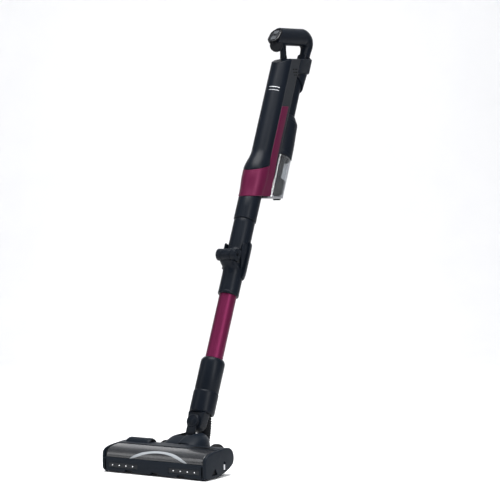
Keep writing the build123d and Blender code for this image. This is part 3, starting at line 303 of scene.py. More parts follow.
# every moulded, rubber, felt and metal finish: two shades that drift, a fine grain, and its gloss
finishes = {
    "satinBlack": dict(shade=(0.0022, 0.0036, 0.0064), tint=(0.004, 0.006, 0.0098), drift=14, grain=2600,
                       depth=0.05, rough=0.36, spread=0.07, gloss=0.09),
    "headBlack": dict(shade=(0.003, 0.0052, 0.0086), tint=(0.0052, 0.008, 0.0125), drift=18, grain=2200,
                      depth=0.07, rough=0.42, spread=0.08, gloss=0.09),
    "charcoal": dict(shade=(0.011, 0.0125, 0.015), tint=(0.016, 0.018, 0.021), drift=20, grain=1500,
                     depth=0.2, rough=0.55, spread=0.08, gloss=0.14),
    "burgundy": dict(shade=(0.062, 0.0036, 0.022), tint=(0.09, 0.0062, 0.034), drift=16, grain=3200,
                     depth=0.06, rough=0.4, spread=0.085, metallic=0.35, gloss=0.15),
    "burgundyMetal": dict(shade=(0.07, 0.005, 0.026), tint=(0.11, 0.009, 0.043), drift=12, grain=1800,
                          depth=0.06, rough=0.42, spread=0.09, metallic=0.6, gloss=0.15,
                          stretch=(1, 1, 0.06)),
    "displayGlass": dict(shade=(0.006, 0.007, 0.009), tint=(0.01, 0.011, 0.013), drift=30, grain=900,
                         depth=0.0, rough=0.25, spread=0.06, coat=0.1, gloss=0.2),
    # darkTrim: near-black trim, and also the colour of painted shade in the vent openings and the recess on
    # the head's top
    "darkTrim": dict(shade=(0.001, 0.0012, 0.0016), tint=(0.0022, 0.0025, 0.0032), drift=25, grain=2000,
                     depth=0.04, rough=0.4, spread=0.06, gloss=0.06),
    "archGrey": dict(shade=(0.2, 0.215, 0.23), tint=(0.27, 0.285, 0.3), drift=60, grain=2200, depth=0.06,
                     rough=0.4, spread=0.08, gloss=0.3),
    "keyGrey": dict(shade=(0.025, 0.028, 0.032), tint=(0.038, 0.042, 0.048), drift=60, grain=2400,
                    depth=0.08, rough=0.5, spread=0.08, gloss=0.2),
    "paleTrim": dict(shade=(0.4, 0.41, 0.43), tint=(0.47, 0.48, 0.5), drift=40, grain=2200, depth=0.08,
                     rough=0.36, spread=0.08, coat=0.1, metallic=0.3),
    "softRubber": dict(shade=(0.004, 0.0045, 0.006), tint=(0.008, 0.009, 0.011), drift=35, grain=1300,
                       depth=0.3, rough=0.7, spread=0.1, gloss=0.12),
    "hoseGreen": dict(shade=(0.012, 0.05, 0.04), tint=(0.02, 0.07, 0.055), drift=50, grain=1500, depth=0.2,
                      rough=0.55, spread=0.1),
    "wheelRubber": dict(shade=(0.006, 0.006, 0.007), tint=(0.012, 0.012, 0.013), drift=40, grain=1100,
                        depth=0.35, rough=0.7, spread=0.12, gloss=0.12),
    "felt": dict(shade=(0.03, 0.03, 0.032), tint=(0.07, 0.068, 0.066), drift=220, grain=2600, depth=0.9,
                 rough=0.95, spread=0.05),
    "cellWrap": dict(shade=(0.03, 0.19, 0.24), tint=(0.04, 0.25, 0.3), drift=30, grain=1800, depth=0.05,
                     rough=0.38, spread=0.08, coat=0.2),
    "innerPlastic": dict(shade=(0.005, 0.0055, 0.0065), tint=(0.009, 0.01, 0.012), drift=30, grain=1600,
                         depth=0.15, rough=0.5, spread=0.1),
    "cupGrey": dict(shade=(0.12, 0.125, 0.135), tint=(0.16, 0.165, 0.175), drift=30, grain=1600, depth=0.1,
                    rough=0.42, spread=0.1, coat=0.1),
    "filterFelt": dict(shade=(0.5, 0.5, 0.47), tint=(0.62, 0.62, 0.58), drift=160, grain=2200, depth=0.8,
                       rough=0.9, spread=0.05),
    "boardGreen": dict(shade=(0.006, 0.06, 0.025), tint=(0.01, 0.08, 0.035), drift=120, grain=900,
                       depth=0.1, rough=0.4, spread=0.1, coat=0.2),
    "bristle": dict(shade=(0.014, 0.014, 0.016), tint=(0.04, 0.04, 0.044), drift=600, grain=3500, depth=0.6,
                    rough=0.75, spread=0.1),
    "steel": dict(shade=(0.42, 0.42, 0.43), tint=(0.55, 0.55, 0.56), drift=60, grain=2400, depth=0.1,
                  rough=0.32, spread=0.12, metallic=1.0, stretch=(0.08, 1, 1)),
}


def makeFinish(name, look):
    # colour drifts between two shades, roughness drifts with it, fine grain and rare scuffs lift the surface
    shader = Shader(name)
    drift = shader.noise(look["drift"], 4.0)
    grain = shader.noise(look["grain"], 2.0, look.get("stretch", (1, 1, 1)), look.get("turn", (0, 0, 0)))
    scuff = shader.noise(look["drift"] * 9, 6.0, (1, 0.35, 1)).power(3.0)
    share = drift * 0.7 + grain * 0.3
    rough = look["rough"] + (drift - 0.5) * look["spread"] + scuff * 0.12
    values = {
        "Base Color": shader.mix(share, look["shade"], look["tint"]),
        "Roughness": rough,
        "Metallic": look.get("metallic", 0.0),
        "Coat Weight": look.get("coat", 0.0),
        "Coat Roughness": 0.16,
        "Specular IOR Level": look.get("gloss", 0.3),
    }
    if look["depth"]:
        values["Normal"] = shader.bump(grain, look["depth"], 0.00012)
    return shader.done(values)


finish = {name: makeFinish(name, look) for name, look in finishes.items()}


def clearPlastic(name, tone, rough, through):
    # clear moulding: light passes, faint haze and fine rub marks change its gloss
    shader = Shader(name)
    haze = shader.noise(22, 5.0)
    rub = shader.noise(500, 3.0, (1, 1, 0.08))
    return shader.done(
        {
            "Base Color": shader.mix(haze, tone[0], tone[1]),
            "Roughness": rough + haze * 0.06 + rub * 0.05,
            "Transmission Weight": through,
            "IOR": 1.46,
            "Specular IOR Level": 0.35,
            "Normal": shader.bump(rub, 0.02, 0.0001),
        }
    )


finish["clearBin"] = clearPlastic("clearBin", ((0.52, 0.54, 0.56), (0.62, 0.64, 0.66)), 0.0, 0.97)
finish["smokyWindow"] = clearPlastic("smokyWindow", ((0.03, 0.032, 0.036), (0.06, 0.063, 0.068)), 0.12,
                                     0.55)


def lampGlow():
    # a frosted lamp: fine noise drifts its colour, its glow and its gloss
    shader = Shader("lampGlow")
    cell = shader.noise(700, 2.0)
    return shader.done(
        {
            "Base Color": shader.mix(cell, (0.9, 0.92, 0.95), (1.0, 1.0, 1.0)),
            "Emission Color": shader.mix(cell, (0.85, 0.9, 1.0), (1.0, 1.0, 1.0)),
            "Emission Strength": 0.55,
            "Roughness": 0.3 + cell * 0.2,
        }
    )


finish["lampGlow"] = lampGlow()
# the record's material slots and their finishes; two finishes more share a slot
slotFinish = {
    "satin_black": "satinBlack", "charcoal": "charcoal", "burgundy": "burgundy",
    "burgundy_metal": "burgundyMetal",
    "clear_bin": "clearBin", "smoky_window": "smokyWindow", "display_glass": "displayGlass",
    "dark_trim": "darkTrim",
    "grey_keys": "keyGrey", "pale_trim": "paleTrim", "soft_rubber": "softRubber", "hose_green": "hoseGreen",
    "wheel_plastic": "wheelRubber", "felt": "felt", "lamp": "lampGlow", "cell_wrap": "cellWrap",
    "inner_plastic": "innerPlastic", "board": "boardGreen", "filter_media": "filterFelt", "steel": "steel",
    "bristle": "bristle",
}
print("finishes ready:", len(finish))

# body: inlet block and front cover are one flowing nose, parted by a sloping seam
nose = {
    "low": 576.0, "flareFrom": 632.0, "flareTo": 682.0, "blockRadius": 30.5, "coverRadius": 25.5,
    "blockCentre": 3.0, "coverCentre": 10.0, "seamBack": 7.5, "seamFront": 632.0, "seamSlope": 38.0,
    "footRadius": 28.0, "topEdge": 4.0,
}


def noseRing(along, count=72):
    # half circle round the nose, closed by a straight back: radius and centre ease from block to cover,
    # and the foot of the block draws in a little
    share = smooth((along - nose["flareFrom"]) / (nose["flareTo"] - nose["flareFrom"]))
    foot = smooth((nose["low"] + 40 - along) / 40)
    radius = nose["blockRadius"] + (nose["coverRadius"] - nose["blockRadius"]) * share
    radius = radius - (nose["blockRadius"] - nose["footRadius"]) * foot
    centre = nose["blockCentre"] + (nose["coverCentre"] - nose["blockCentre"]) * share
    reach = np.arcsin(np.clip((nose["seamBack"] - centre) / radius, -1, 1))
    angle = math.pi - reach + (math.pi + 2 * reach) * np.linspace(0, 1, count)[None, :]
    front = np.stack([radius * np.cos(angle), centre + radius * np.sin(angle)], -1)
    back = np.linspace(front[:, -1], front[:, 0], 14, axis=1)[:, 1:-1]
    return np.concatenate([front, back], axis=1)


def noseShell(lowAt, highAt, rows=40, lowEdge=1.0, highEdge=1.0):
    # rows between two slanted ends: along runs from lowAt(back) to highAt(back); both ends draw in by a
    # quarter round so that their rims are soft
    turn = np.linspace(0, math.pi / 2, 6)
    shares = np.concatenate([np.zeros(5), np.linspace(0, 1, rows), np.ones(5)])
    rim = 1 - np.sin(turn[:-1])
    insets = np.concatenate([lowEdge * rim, np.zeros(rows), highEdge * rim[::-1]])
    middle = noseRing(np.array([[650.0]]))[0]
    low, high = lowAt(middle[:, 1]), highAt(middle[:, 1])
    along = low + (high - low) * shares[:, None]
    along[:6] += np.linspace(0, lowEdge, 6)[:, None]
    along[-6:] -= np.linspace(highEdge, 0, 6)[:, None]
    grid = np.empty((len(shares), middle.shape[0], 3))
    for row in range(len(shares)):
        ring = noseRing(along[row][:, None])
        pick = ring[np.arange(middle.shape[0]), np.arange(middle.shape[0])]
        centre = np.array([0.0, nose["blockCentre"]])
        away = pick - centre
        size = np.maximum(np.linalg.norm(away, axis=1), 1e-6)[:, None]
        pick = centre + away * (1 - insets[row] / size)
        grid[row] = np.column_stack([pick, along[row]])
    return grid


def seamAt(back):
    return nose["seamFront"] + (back + 15) * math.tan(math.radians(nose["seamSlope"]))


def levelFoot(back):
    return 572.0 + back * leanSin / leanCos


def topAt(back):
    return (bodyTop + back * gripSin) / gripCos


piece("inletNose", [noseShell(lambda b: levelFoot(b) + 0.2, lambda b: seamAt(b) - 0.35)],
      "hand_unit", "burgundy")
piece("frontCover", [noseShell(lambda b: seamAt(b) + 0.35, topAt, 60, 0.8, nose["topEdge"])],
      "hand_unit", "satinBlack", stands=("front_cover", "top_plates"))

# chassis behind the cover: flat flanks, soft back corners, a round recess for the dust column
frameBox = {"front": 7.9, "back": 44.0, "half": 26.0, "corner": 5.0, "columnBack": 70.0, "recess": 33.9,
            "recessTop": 812.0, "low": 633.5, "blockBack": 40.0, "blockHalf": 27.2, "blockTop": 632.6,
            "topEdge": 3.0}


def chassisRing(recessed, back, half, inset=0.0):
    # round cornered box, its back pressed in where the column's circle cuts it
    back, half = back - inset, half - inset
    front = frameBox["front"]
    corners = [(-half, front), (half, front), (half, back), (-half, back)]
    outline = softened(corners, [0.5, 0.5, frameBox["corner"], frameBox["corner"]], 10)
    line = np.linspace(0, 1, 200, endpoint=False)
    closed = np.vstack([outline, outline[:1]])
    lengths = np.concatenate([[0], np.cumsum(np.linalg.norm(np.diff(closed, axis=0), axis=1))])
    ring = np.column_stack([np.interp(line * lengths[-1], lengths, closed[:, k]) for k in (0, 1)])
    if recessed:
        cut = frameBox["columnBack"] - np.sqrt(np.maximum(frameBox["recess"] ** 2 - ring[:, 0] ** 2, 0))
        ring[:, 1] = np.where(np.abs(ring[:, 0]) < frameBox["recess"],
                              np.minimum(ring[:, 1], np.maximum(cut, front)), ring[:, 1])
    return ring


def boxShell(lowAt, highAt, recessTo, back, half, edge=0.0):
    # the ring carried along: recessed up to recessTo, plain above it, rim rounded at the top;
    # with no recessTo it stays recessed all the way
    recessed = chassisRing(True, back, half)
    rows = [np.column_stack([recessed, lowAt(recessed[:, 1])])]
    if recessTo is None:
        rows.append(np.column_stack([recessed, highAt(recessed[:, 1])]))
        return np.stack(rows)
    rows.append(np.column_stack([recessed, np.full(len(recessed), recessTo)]))
    plain = chassisRing(False, back, half)
    rows.append(np.column_stack([plain, np.full(len(plain), recessTo + 0.2)]))
    for a in np.linspace(0, math.pi / 2, 6):
        ring = chassisRing(False, back, half, edge * (1 - math.cos(a)))
        rows.append(np.column_stack([ring, highAt(ring[:, 1]) - edge * (1 - math.sin(a))]))
    return np.stack(rows)


piece("chassisShell", [boxShell(lambda b: np.full(len(b), frameBox["low"]), topAt, frameBox["recessTop"],
                                 frameBox["back"], frameBox["half"], frameBox["topEdge"])],
      "hand_unit", "charcoal", stands=("chassis",))
piece("inletBack", [boxShell(lambda b: levelFoot(b) + 0.4, lambda b: np.full(len(b), frameBox["blockTop"]),
                             None, frameBox["blockBack"], frameBox["blockHalf"])],
      "hand_unit", "burgundy", stands=("inlet_block",))

# burgundy stripes with soft rims, one on each flank
stripe = {"outline": [(8.2, 633.0), (36.0, 633.0), (32.2, 690.0), (32.5, 811.0), (8.2, 799.0)],
          "radii": [1.0, 5.0, 20.0, 3.0, 3.0], "inner": 25.6, "outer": 27.2}
stripeLine = softened(stripe["outline"], stripe["radii"], 9)
piece("flankStripes",
      slabPair(stripeLine, stripe["inner"], stripe["outer"], 0.7),
      "hand_unit", "burgundy", stands=("side_trims",))

# exhaust vents: rounded slots in rows that narrow downwards, each with a fine raised lip; the slots
# themselves are dark slabs, painted shade in place of the openings
vents = {"run": 448.7, "rise": 785.5, "step": -6.6, "halves": (10.5, 8.5, 6.0), "thick": 1.5, "bridge": 0.9}


def ventSlots(growth, inner, outer):
    # each row is two slots along the grip's slope, parted by a bridge; growth widens them for the lips
    shells = []
    for row, half in enumerate(vents["halves"]):
        rise = vents["rise"] + row * vents["step"]
        for way in (-1, 1):
            near, far = vents["bridge"] - growth, half + growth
            runs = vents["run"] + way * np.array([near, far, far, near])
            rises = rise + (vents["thick"] + growth) * np.array([-1, -1, 1, 1])
            line = softened(gripSpot(runs, rises), vents["thick"], 6)
            shells += slabPair(line, inner, outer, 0.12, 2)
    return shells


piece("ventLips", ventSlots(0.55, 25.4, 26.12), "hand_unit", "charcoal")
# dark slabs over the slots: painted shade standing in for the vent openings
piece("ventHoleShade", ventSlots(0.0, 25.4, 26.2), "hand_unit", "darkTrim")

# two plain raised bands on the cover, no lettering
markTurn = np.radians(np.linspace(-98, -42, 18))
markRing = np.column_stack([np.cos(markTurn), np.sin(markTurn)])
markLine = np.vstack([markRing * (nose["coverRadius"] + 0.2),
                      markRing[::-1] * (nose["coverRadius"] - 0.6)]) + [0, nose["coverCentre"]]
markBands = [np.stack([np.column_stack([markLine, np.full(len(markLine), along)]) for along in pair])
             for pair in ((838.4, 840.0), (831.0, 832.0))]
piece("coverMark", markBands, "hand_unit", "paleTrim")
print("body built")

# handle: an oval barrel that turns down into the spine, cut by the tilted display face
handle = {"rise": 862.0, "deep": 20.4, "across": 17.1, "runFront": 404.0, "runBack": 528.0, "bend": 20.0,
          "spineDeep": 13.0, "spineAcross": 12.5}
display = {"back": -42.0, "along": 955.5, "lean": 18.5, "wide": 15.5, "high": 22.0, "rim": 2.4,
           "lensIn": 2.5, "keyUp": 9.5}
faceCos, faceSin = math.cos(math.radians(display["lean"])), math.sin(math.radians(display["lean"]))


def faceSpot(across, up, lift):
    # a point on the display face: up its slope, and lifted out of it towards the user
    across, up, lift = np.broadcast_arrays(across, up, lift)
    return np.stack(
        [across, display["back"] + up * faceSin - lift * faceCos,
         display["along"] + up * faceCos + lift * faceSin], -1
    )


def handleBarrel():
    # straight run, then a quarter turn downwards round the bend's centre; the section eases from the
    # barrel's oval to the slimmer spine
    straight = np.linspace(handle["runFront"], handle["runBack"], 40)
    line = gripSpot(straight, np.full(40, handle["rise"]))
    turn = np.linspace(0, math.radians(118), 30)[1:]
    centre = gripSpot(np.array(handle["runBack"]), np.array(handle["rise"] - handle["bend"]))
    runs = handle["bend"] * np.sin(turn)
    rises = handle["bend"] * np.cos(turn)
    curve = centre + np.column_stack([runs * gripCos - rises * gripSin, runs * gripSin + rises * gripCos])
    down = curve[-1] - np.column_stack([np.zeros(10), np.linspace(0, 30, 11)[1:]])
    path = np.vstack([line, curve, down])
    share = smooth(np.concatenate([np.zeros(52), np.linspace(0, 1, 22), np.ones(5)]))
    deep = handle["deep"] + (handle["spineDeep"] - handle["deep"]) * share
    across = handle["across"] + (handle["spineAcross"] - handle["across"]) * share
    grid = swept(path, pathNormals(path), across, deep, 64)
    # the front is trimmed by the display face: points in front of it slide back along the grip onto it
    away = -(grid[..., 1] - display["back"]) * faceCos + (grid[..., 2] - display["along"]) * faceSin
    pace = -gripCos * faceCos + gripSin * faceSin
    slide = np.where(away > 0, -away / pace, 0.0)
    grid[..., 1] += slide * gripCos
    grid[..., 2] += slide * gripSin
    return grid


piece("gripBarrel", [handleBarrel()], "hand_unit", "satinBlack", stands=("grip_shell",))

footLine = softened([(76.5, 958.0), (104.4, 958.0), (104.0, 968.0), (103.2, 974.0), (78.6, 974.0),
                     (77.6, 968.0)], [1, 2, 3, 2, 2, 3], 6)
postLine = softened(gripSpot(np.array([436.5, 448.5, 448.0, 452.0, 433.0, 436.0]),
                             np.array([810.6, 810.6, 836.0, 850.0, 850.0, 836.0])),
                    [0.8, 0.8, 10, 2, 2, 10], 8)
piece("handlePosts", [slab(footLine, -12.9, 12.9, 4.0, 6), slab(postLine, -6.4, 6.4, 3.5, 6)],
      "hand_unit", "satinBlack", stands=("handle_posts",))


def faceStadium(halfWide, halfHigh, count=80):
    # stadium outline: half circles of the half width on straight sides
    angle = np.linspace(0, 2 * math.pi, count, endpoint=False)
    straight = halfHigh - halfWide
    return np.column_stack([halfWide * np.cos(angle),
                            halfWide * np.sin(angle) + straight * np.sign(np.sin(angle))])


def faceStack(layers):
    # outlines on the display face, one for each (outline, lift)
    return np.stack([faceSpot(line[:, 0], line[:, 1], lift) for line, lift in layers])


bezelLayers = [(faceStadium(display["wide"] - i, display["high"] - i), lift) for i, lift in
               ((0, 0.0), (0, 1.5), (0.3, 2.1), (0.9, 2.45), (1.6, 2.45), (2.2, 2.1), (display["rim"], 1.5),
                (display["rim"], 0.1))]
piece("displayBezel", [faceStack(bezelLayers)], "hand_unit", "darkTrim", stands=("display_bezel",))
lensLayers = [(faceStadium(display["wide"] - display["lensIn"] - i,
                           display["high"] - display["lensIn"] - i), lift) for i, lift in
              ((0, 0.05), (0, 1.1), (0.4, 1.42), (1.5, 1.5))]
piece("displayLens", [faceStack(lensLayers)], "hand_unit", "displayGlass", stands=("display_lens",))


def keyCap(up, name, body):
    # a rounded key: its outline shrinks as a quarter round at the crown, which dishes slightly
    key = softened([(-6.2, -5.4), (6.2, -5.4), (6.2, 5.4), (-6.2, 5.4)], 3.0, 8) + [0, up]
    layers = [(key, -1.4), (key, 2.2)]
    for a in np.linspace(0, math.pi / 2, 5)[1:]:
        layers.append((shrunk(key, 0.8 * (1 - math.cos(a))), 2.2 + 0.8 * math.sin(a)))
    layers.append((shrunk(key, 2.6), 2.75))
    piece(name, [faceStack(layers)], body, "keyGrey", stands=(body,))


keyCap(display["keyUp"], "powerKey", "power_button")
keyCap(-display["keyUp"], "modeKey", "mode_button")

# ribbed pad under the display: half round, with rows of small ridges
padShare = np.linspace(0.02, 1, 60)
padProfile = np.column_stack([15.2 * np.sin(padShare * math.pi / 2) * (1 + 0.018 * np.cos(padShare * 80)),
                              -15.2 * np.cos(padShare * math.pi / 2)])
padProfile = np.vstack([[0.0, -15.2], padProfile, [13.5, 6.0], [0.0, 6.0]])
piece("nosePad", [turned(padProfile, (0, -29.0, 938.0), (0, 0, 1), (1, 0, 0), 72)], "hand_unit",
      "softRubber", stands=("nose_pad",), sharp=60)
print("handle built")

# dust column: clear bin, cyclone cap, duct, collar and the box behind the handle
column = {"back": 70.0, "binRadius": 32.5, "binWall": 2.0, "rim": 698.0}


def columnRings(rows, turns=96):
    # level rings about the column: (radius, along)
    return turned(np.asarray(rows, float), (0, column["back"], 0), (0, 0, 1), (1, 0, 0), turns)


def slantedCup(radius, inner, highAt, lift):
    # a tube whose foot is level with the floor: outer wall up, over the rim, inner wall down
    ring = ovalRing(1, 1, 0, 0, 96)
    rows = []
    for r, where in ((inner, "low"), (radius, "low"), (radius, "high"), (radius - 0.4, "top"),
                     (inner + 0.4, "top"), (inner, "high"), (inner, "low")):
        back = column["back"] + r * ring[:, 1]
        high = highAt - (0.4 if where == "high" else 0)
        along = levelFoot(back) + lift if where == "low" else np.full(len(ring), high)
        rows.append(np.column_stack([r * ring[:, 0], back, along]))
    return np.stack(rows)


piece("dustBin", [slantedCup(column["binRadius"], column["binRadius"] - column["binWall"], column["rim"],
                             0.35)],
      "hand_unit", "clearBin", stands=("bin_cup",), closed=False)
capRows = [(29.0, 700.2), (32.9, 700.2), (33.4, 700.8), (33.4, 706.0), (32.9, 706.6), (32.9, 707.6),
           (33.2, 708.2)]
capRows += [(33.1 - 2.6 * smooth((t - 720) / 66), t) for t in np.linspace(712, 783, 14)]
capRows += [(30.2, 784.5), (29.7, 785.2), (29.9, 786.2), (29.6, 788.0), (28.2, 791.0), (25.5, 796.0),
            (23.0, 801.0), (21.9, 803.4), (21.2, 804.0), (19.1, 804.0)]
piece("cycloneCap", [columnRings(capRows)], "hand_unit", "satinBlack", stands=("cyclone_cap",))
catchLine = softened([(98.0, 741.0), (104.4, 744.0), (105.4, 762.0), (98.0, 767.0)], [1, 3, 3, 1], 8)
piece("filterCatch", [slab(catchLine, -6.5, 6.5, 2.0, 5)], "hand_unit", "charcoal")
ductRows = [(17.2, 804.0), (19.0, 804.0)] + [(19.0, t) for t in np.linspace(806, 905, 8)]
ductRows += [(19.0, 915.0), (17.2, 915.0)]
piece("ductTube", [columnRings(ductRows)], "hand_unit", "satinBlack", stands=("duct_tube",))


def collarShell():
    # slanted foot and head: radius eases from the foot's to the head's, with both rims rounded
    ring = ovalRing(1, 1, 0, 0, 80)
    rows = []
    for share, grow in ((0, -4.5), (0, -0.6), (0.03, 0), (0.3, 0.6), (0.6, 1.5), (0.97, 2.6), (1.0, 2.0),
                        (1.0, -4)):
        radius = 23.6 + grow
        back = column["back"] + 1 + radius * ring[:, 1]
        foot = 903.0 - (back - 50.0) * 0.6
        head = (774.0 + back * gripSin) / gripCos + 0.6
        foot = np.minimum(foot, head - 6)
        rows.append(np.column_stack([radius * ring[:, 0], back, foot + (head - foot) * share]))
    return np.stack(rows)


piece("ductCollar", [collarShell()], "hand_unit", "satinBlack", stands=("duct_collar",))
# box behind the handle: a plan outline carried up the grip's square, between its foot and the body's top
boxForm = {"low": 774.4, "high": 809.6, "rim": 3.0}
boxPlan = softened([(-25.2, 43.4), (25.2, 43.4), (24.6, 58.0), (19.5, 101.0), (-19.5, 101.0),
                    (-24.6, 58.0)], [0.6, 0.6, 12, 9, 9, 12], 9)


def rearBox():
    # rows of the plan at grip rises; both rims draw in by a quarter round, along = (rise + back sin) / cos
    rows = []
    steps = [(a, boxForm["low"], 1) for a in np.linspace(0, math.pi / 2, 6)]
    steps += [(a, boxForm["high"], -1) for a in np.linspace(math.pi / 2, 0, 6)]
    for a, rise, way in steps:
        ring = shrunk(boxPlan, boxForm["rim"] * (1 - math.sin(a)))
        level = rise + way * boxForm["rim"] * (1 - math.cos(a))
        rows.append(np.column_stack([ring, (level + ring[:, 1] * gripSin) / gripCos]))
    return np.stack(rows)


piece("rearBox", [rearBox()], "hand_unit", "satinBlack", stands=("rear_cover",))

# cyclone inside the bin: a shroud whose rows of fine holes are grooved bands, and its skirt
screenRows = [(0, 638.2), (18.0, 638.2), (19.0, 639.2)]
for t in np.arange(644, 730, 3.0):
    screenRows += [(19.0, t), (19.0, t + 1.3), (18.55, t + 1.5), (18.55, t + 2.8)]
screenRows += [(19.0, 733.0), (30.6, 736.2), (30.6, 738.6), (0, 738.6)]
piece("cycloneScreen", [columnRings(screenRows, 64)], "hand_unit", "innerPlastic",
      stands=("cyclone_screen",))
# dark inner skirt at the bin's foot, and the latch at its back
piece("binSkirt", [slantedCup(30.3, 28.8, 643.0, 5.2)], "hand_unit", "innerPlastic", closed=False)
latchLine = softened([(103.6, 648.0), (108.0, 648.0), (108.9, 610.6), (101.2, 607.2), (101.2, 610.2),
                      (103.6, 612.0)], [1.5, 2, 3, 1, 1, 1], 7)
piece("latchBlock", [slab(latchLine, -8.6, 8.6, 2.0, 5)], "bin_latch", "charcoal", stands=("bin_latch",))
print("column built")

# wand: upper shell with the fold barrel's outer knuckles, cheeks and a level topped collar
wandForm = {"upper": 23.6, "seam": 512.0, "face": 436.2, "sleeve": 23.0, "cheekIn": 22.6, "cheekOut": 25.4}
fold = {"back": -33.0, "along": 418.0, "radius": 13.3, "half": 24.6, "middle": 11.4, "arm": 11.8,
        "upperBlend": 10.0, "lowerBlend": 32.0, "rear": -20.5,
        "upperFoot": 430.6, "sleeveClear": -23.5}


def blendArc(wall, blend, upward):
    # the concave arc that touches the wall's line and the barrel's circle: its centre stands blend outside
    # the wall and blend + radius from the barrel's centre
    aside = -wall - blend - fold["back"]
    rise = math.sqrt((blend + fold["radius"]) ** 2 - aside**2)
    return np.array([-wall - blend, fold["along"] + upward * rise])


def arcPoints(centre, radius, first, last, count):
    # (back, along) points on a circle, centre + radius (cos a, sin a)
    angle = np.linspace(first, last, count)
    return np.column_stack([centre[0] + radius * np.cos(angle), centre[1] + radius * np.sin(angle)])


def flowShell(wall, blend, upward, stations, halfWide, sink, turns=112, cutBelow=0.0):
    # rings round the wand whose front reaches out along the blend arc:
    # reach = wall + blend - sqrt(blend squared - d squared), d the distance past the arc's start;
    # the front half squares off and widens in step with the reach; rings under cutBelow keep only what
    # stands in front of the lower sleeve
    centre = blendArc(wall, blend, upward)
    past = np.clip(upward * (centre[1] - stations), 0, blend * 0.985)
    out = blend - np.sqrt(blend**2 - past**2)
    share = smooth(out / out.max())
    angle = np.linspace(0, 2 * math.pi, turns, endpoint=False)
    c, s = np.cos(angle)[None, :], np.sin(angle)[None, :]
    power = (2 + 4.5 * share**2)[:, None]
    half = (wall - sink + (halfWide - wall + sink) * share)[:, None]
    front = (wall - sink + out)[:, None]
    ahead = s < 0
    x = half * np.sign(c) * np.where(ahead, np.abs(c) ** (2 / power), np.abs(c))
    v = np.where(ahead, -front * np.abs(s) ** (2 / power), (wall - sink) * s)
    v = np.where(stations[:, None] < cutBelow, np.minimum(v, fold["sleeveClear"]), v)
    return np.stack([x, v, np.broadcast_to(stations[:, None], x.shape)], -1)


def upperCollar():
    # rings from the seam groove up to a rim that is level with the floor when the wand leans
    ring = ovalRing(1, 1, 0, 0, 112)
    rows = []
    for radius, share, drop in ((23.3, 0, 0), (24.6, 0, 0.3), (25.2, 0, 1.0), (25.2, 0.5, 0),
                                (25.2, 1, 1.0), (24.9, 1, 0.3), (24.2, 1, 0)):
        back = radius * ring[:, 1]
        top = levelFoot(back) - 0.3 - drop * (share == 1)
        low = wandForm["seam"] + drop * (share < 1)
        rows.append(np.column_stack([radius * ring[:, 0], back, low + (top - low) * share]))
    return np.stack(rows)


upperCentre = blendArc(wandForm["upper"], fold["upperBlend"], 1)
lowerCentre = blendArc(wandForm["sleeve"], fold["lowerBlend"], -1)
barrelCentre = np.array([fold["back"], fold["along"]])
backTurn = math.acos((fold["rear"] - fold["back"]) / fold["radius"])
armLine = np.vstack([
    arcPoints(barrelCentre, fold["radius"], -backTurn, math.pi / 2 - 2 * math.pi, 52),
    [(fold["rear"], fold["along"] + fold["radius"])],
])
cheekLine = softened([(-20.0, 452.0), (-3.0, 452.0), (0.0, 437.0), (-5.5, 402.0), (-9.0, 393.0),
                      (-13.5, 408.0), (-20.3, 424.0)],
                     [4, 3, 6, 5, 1.6, 8, 6], 8)
upperStations = np.concatenate([np.linspace(fold["upperFoot"], wandForm["face"] - 0.01, 8),
    np.linspace(wandForm["face"], upperCentre[1], 12), np.linspace(upperCentre[1] + 6, 510.6, 8), [511.3]])
upperTube = flowShell(wandForm["upper"], fold["upperBlend"], 1, upperStations, fold["half"], 0.0, 112,
                      wandForm["face"])
upperTube[-1, :, :2] *= 0.985
piece("upperShell",
      [upperTube, upperCollar()] + slabPair(armLine, fold["arm"], fold["half"], 1.0)
      + slabPair(cheekLine, wandForm["cheekIn"], wandForm["cheekOut"], 1.0),
      "hand_unit", "satinBlack", stands=("upper_wand",))
# release caps: rounded rectangles that bulge outwards, with three finger grooves
releaseCap = {"half": 6.7, "crown": 1.2, "root": 3.0, "groove": 0.35, "pitch": 4.2, "soft": 0.55}


def capButton(back, along, high):
    # rows across the cap: crown = 1.2 (1 - x^4) (1 - up^6), less grooves that repeat at the pitch
    x = np.linspace(-1, 1, 25)
    up = np.linspace(-1, 1, 41)
    gridX, gridUp = np.meshgrid(x, up, indexing="ij")
    crown = (1 - gridX**4) * (1 - gridUp**6)
    pitch = releaseCap["pitch"]
    wave = ((np.abs(gridUp * high) % pitch) - pitch / 2) / releaseCap["soft"]
    groove = releaseCap["groove"] * np.exp(-(wave**2)) * (np.abs(gridX) < 0.72)
    lift = (releaseCap["crown"] - groove) * crown
    face = np.stack([gridX * releaseCap["half"], back + lift, along + gridUp * high], -1)
    rear = face.copy()
    rear[..., 1] = back - releaseCap["root"]
    return np.concatenate([face, rear[:, ::-1]], axis=1)


piece("wandReleaseCap", [capButton(25.6, 536.0, 7.7)], "wand_release", "charcoal", stands=("wand_release",))
piece("tubeReleaseCap", [capButton(28.0, 150.0, 10.7)], "tube_release", "charcoal",
      stands=("tube_release",))

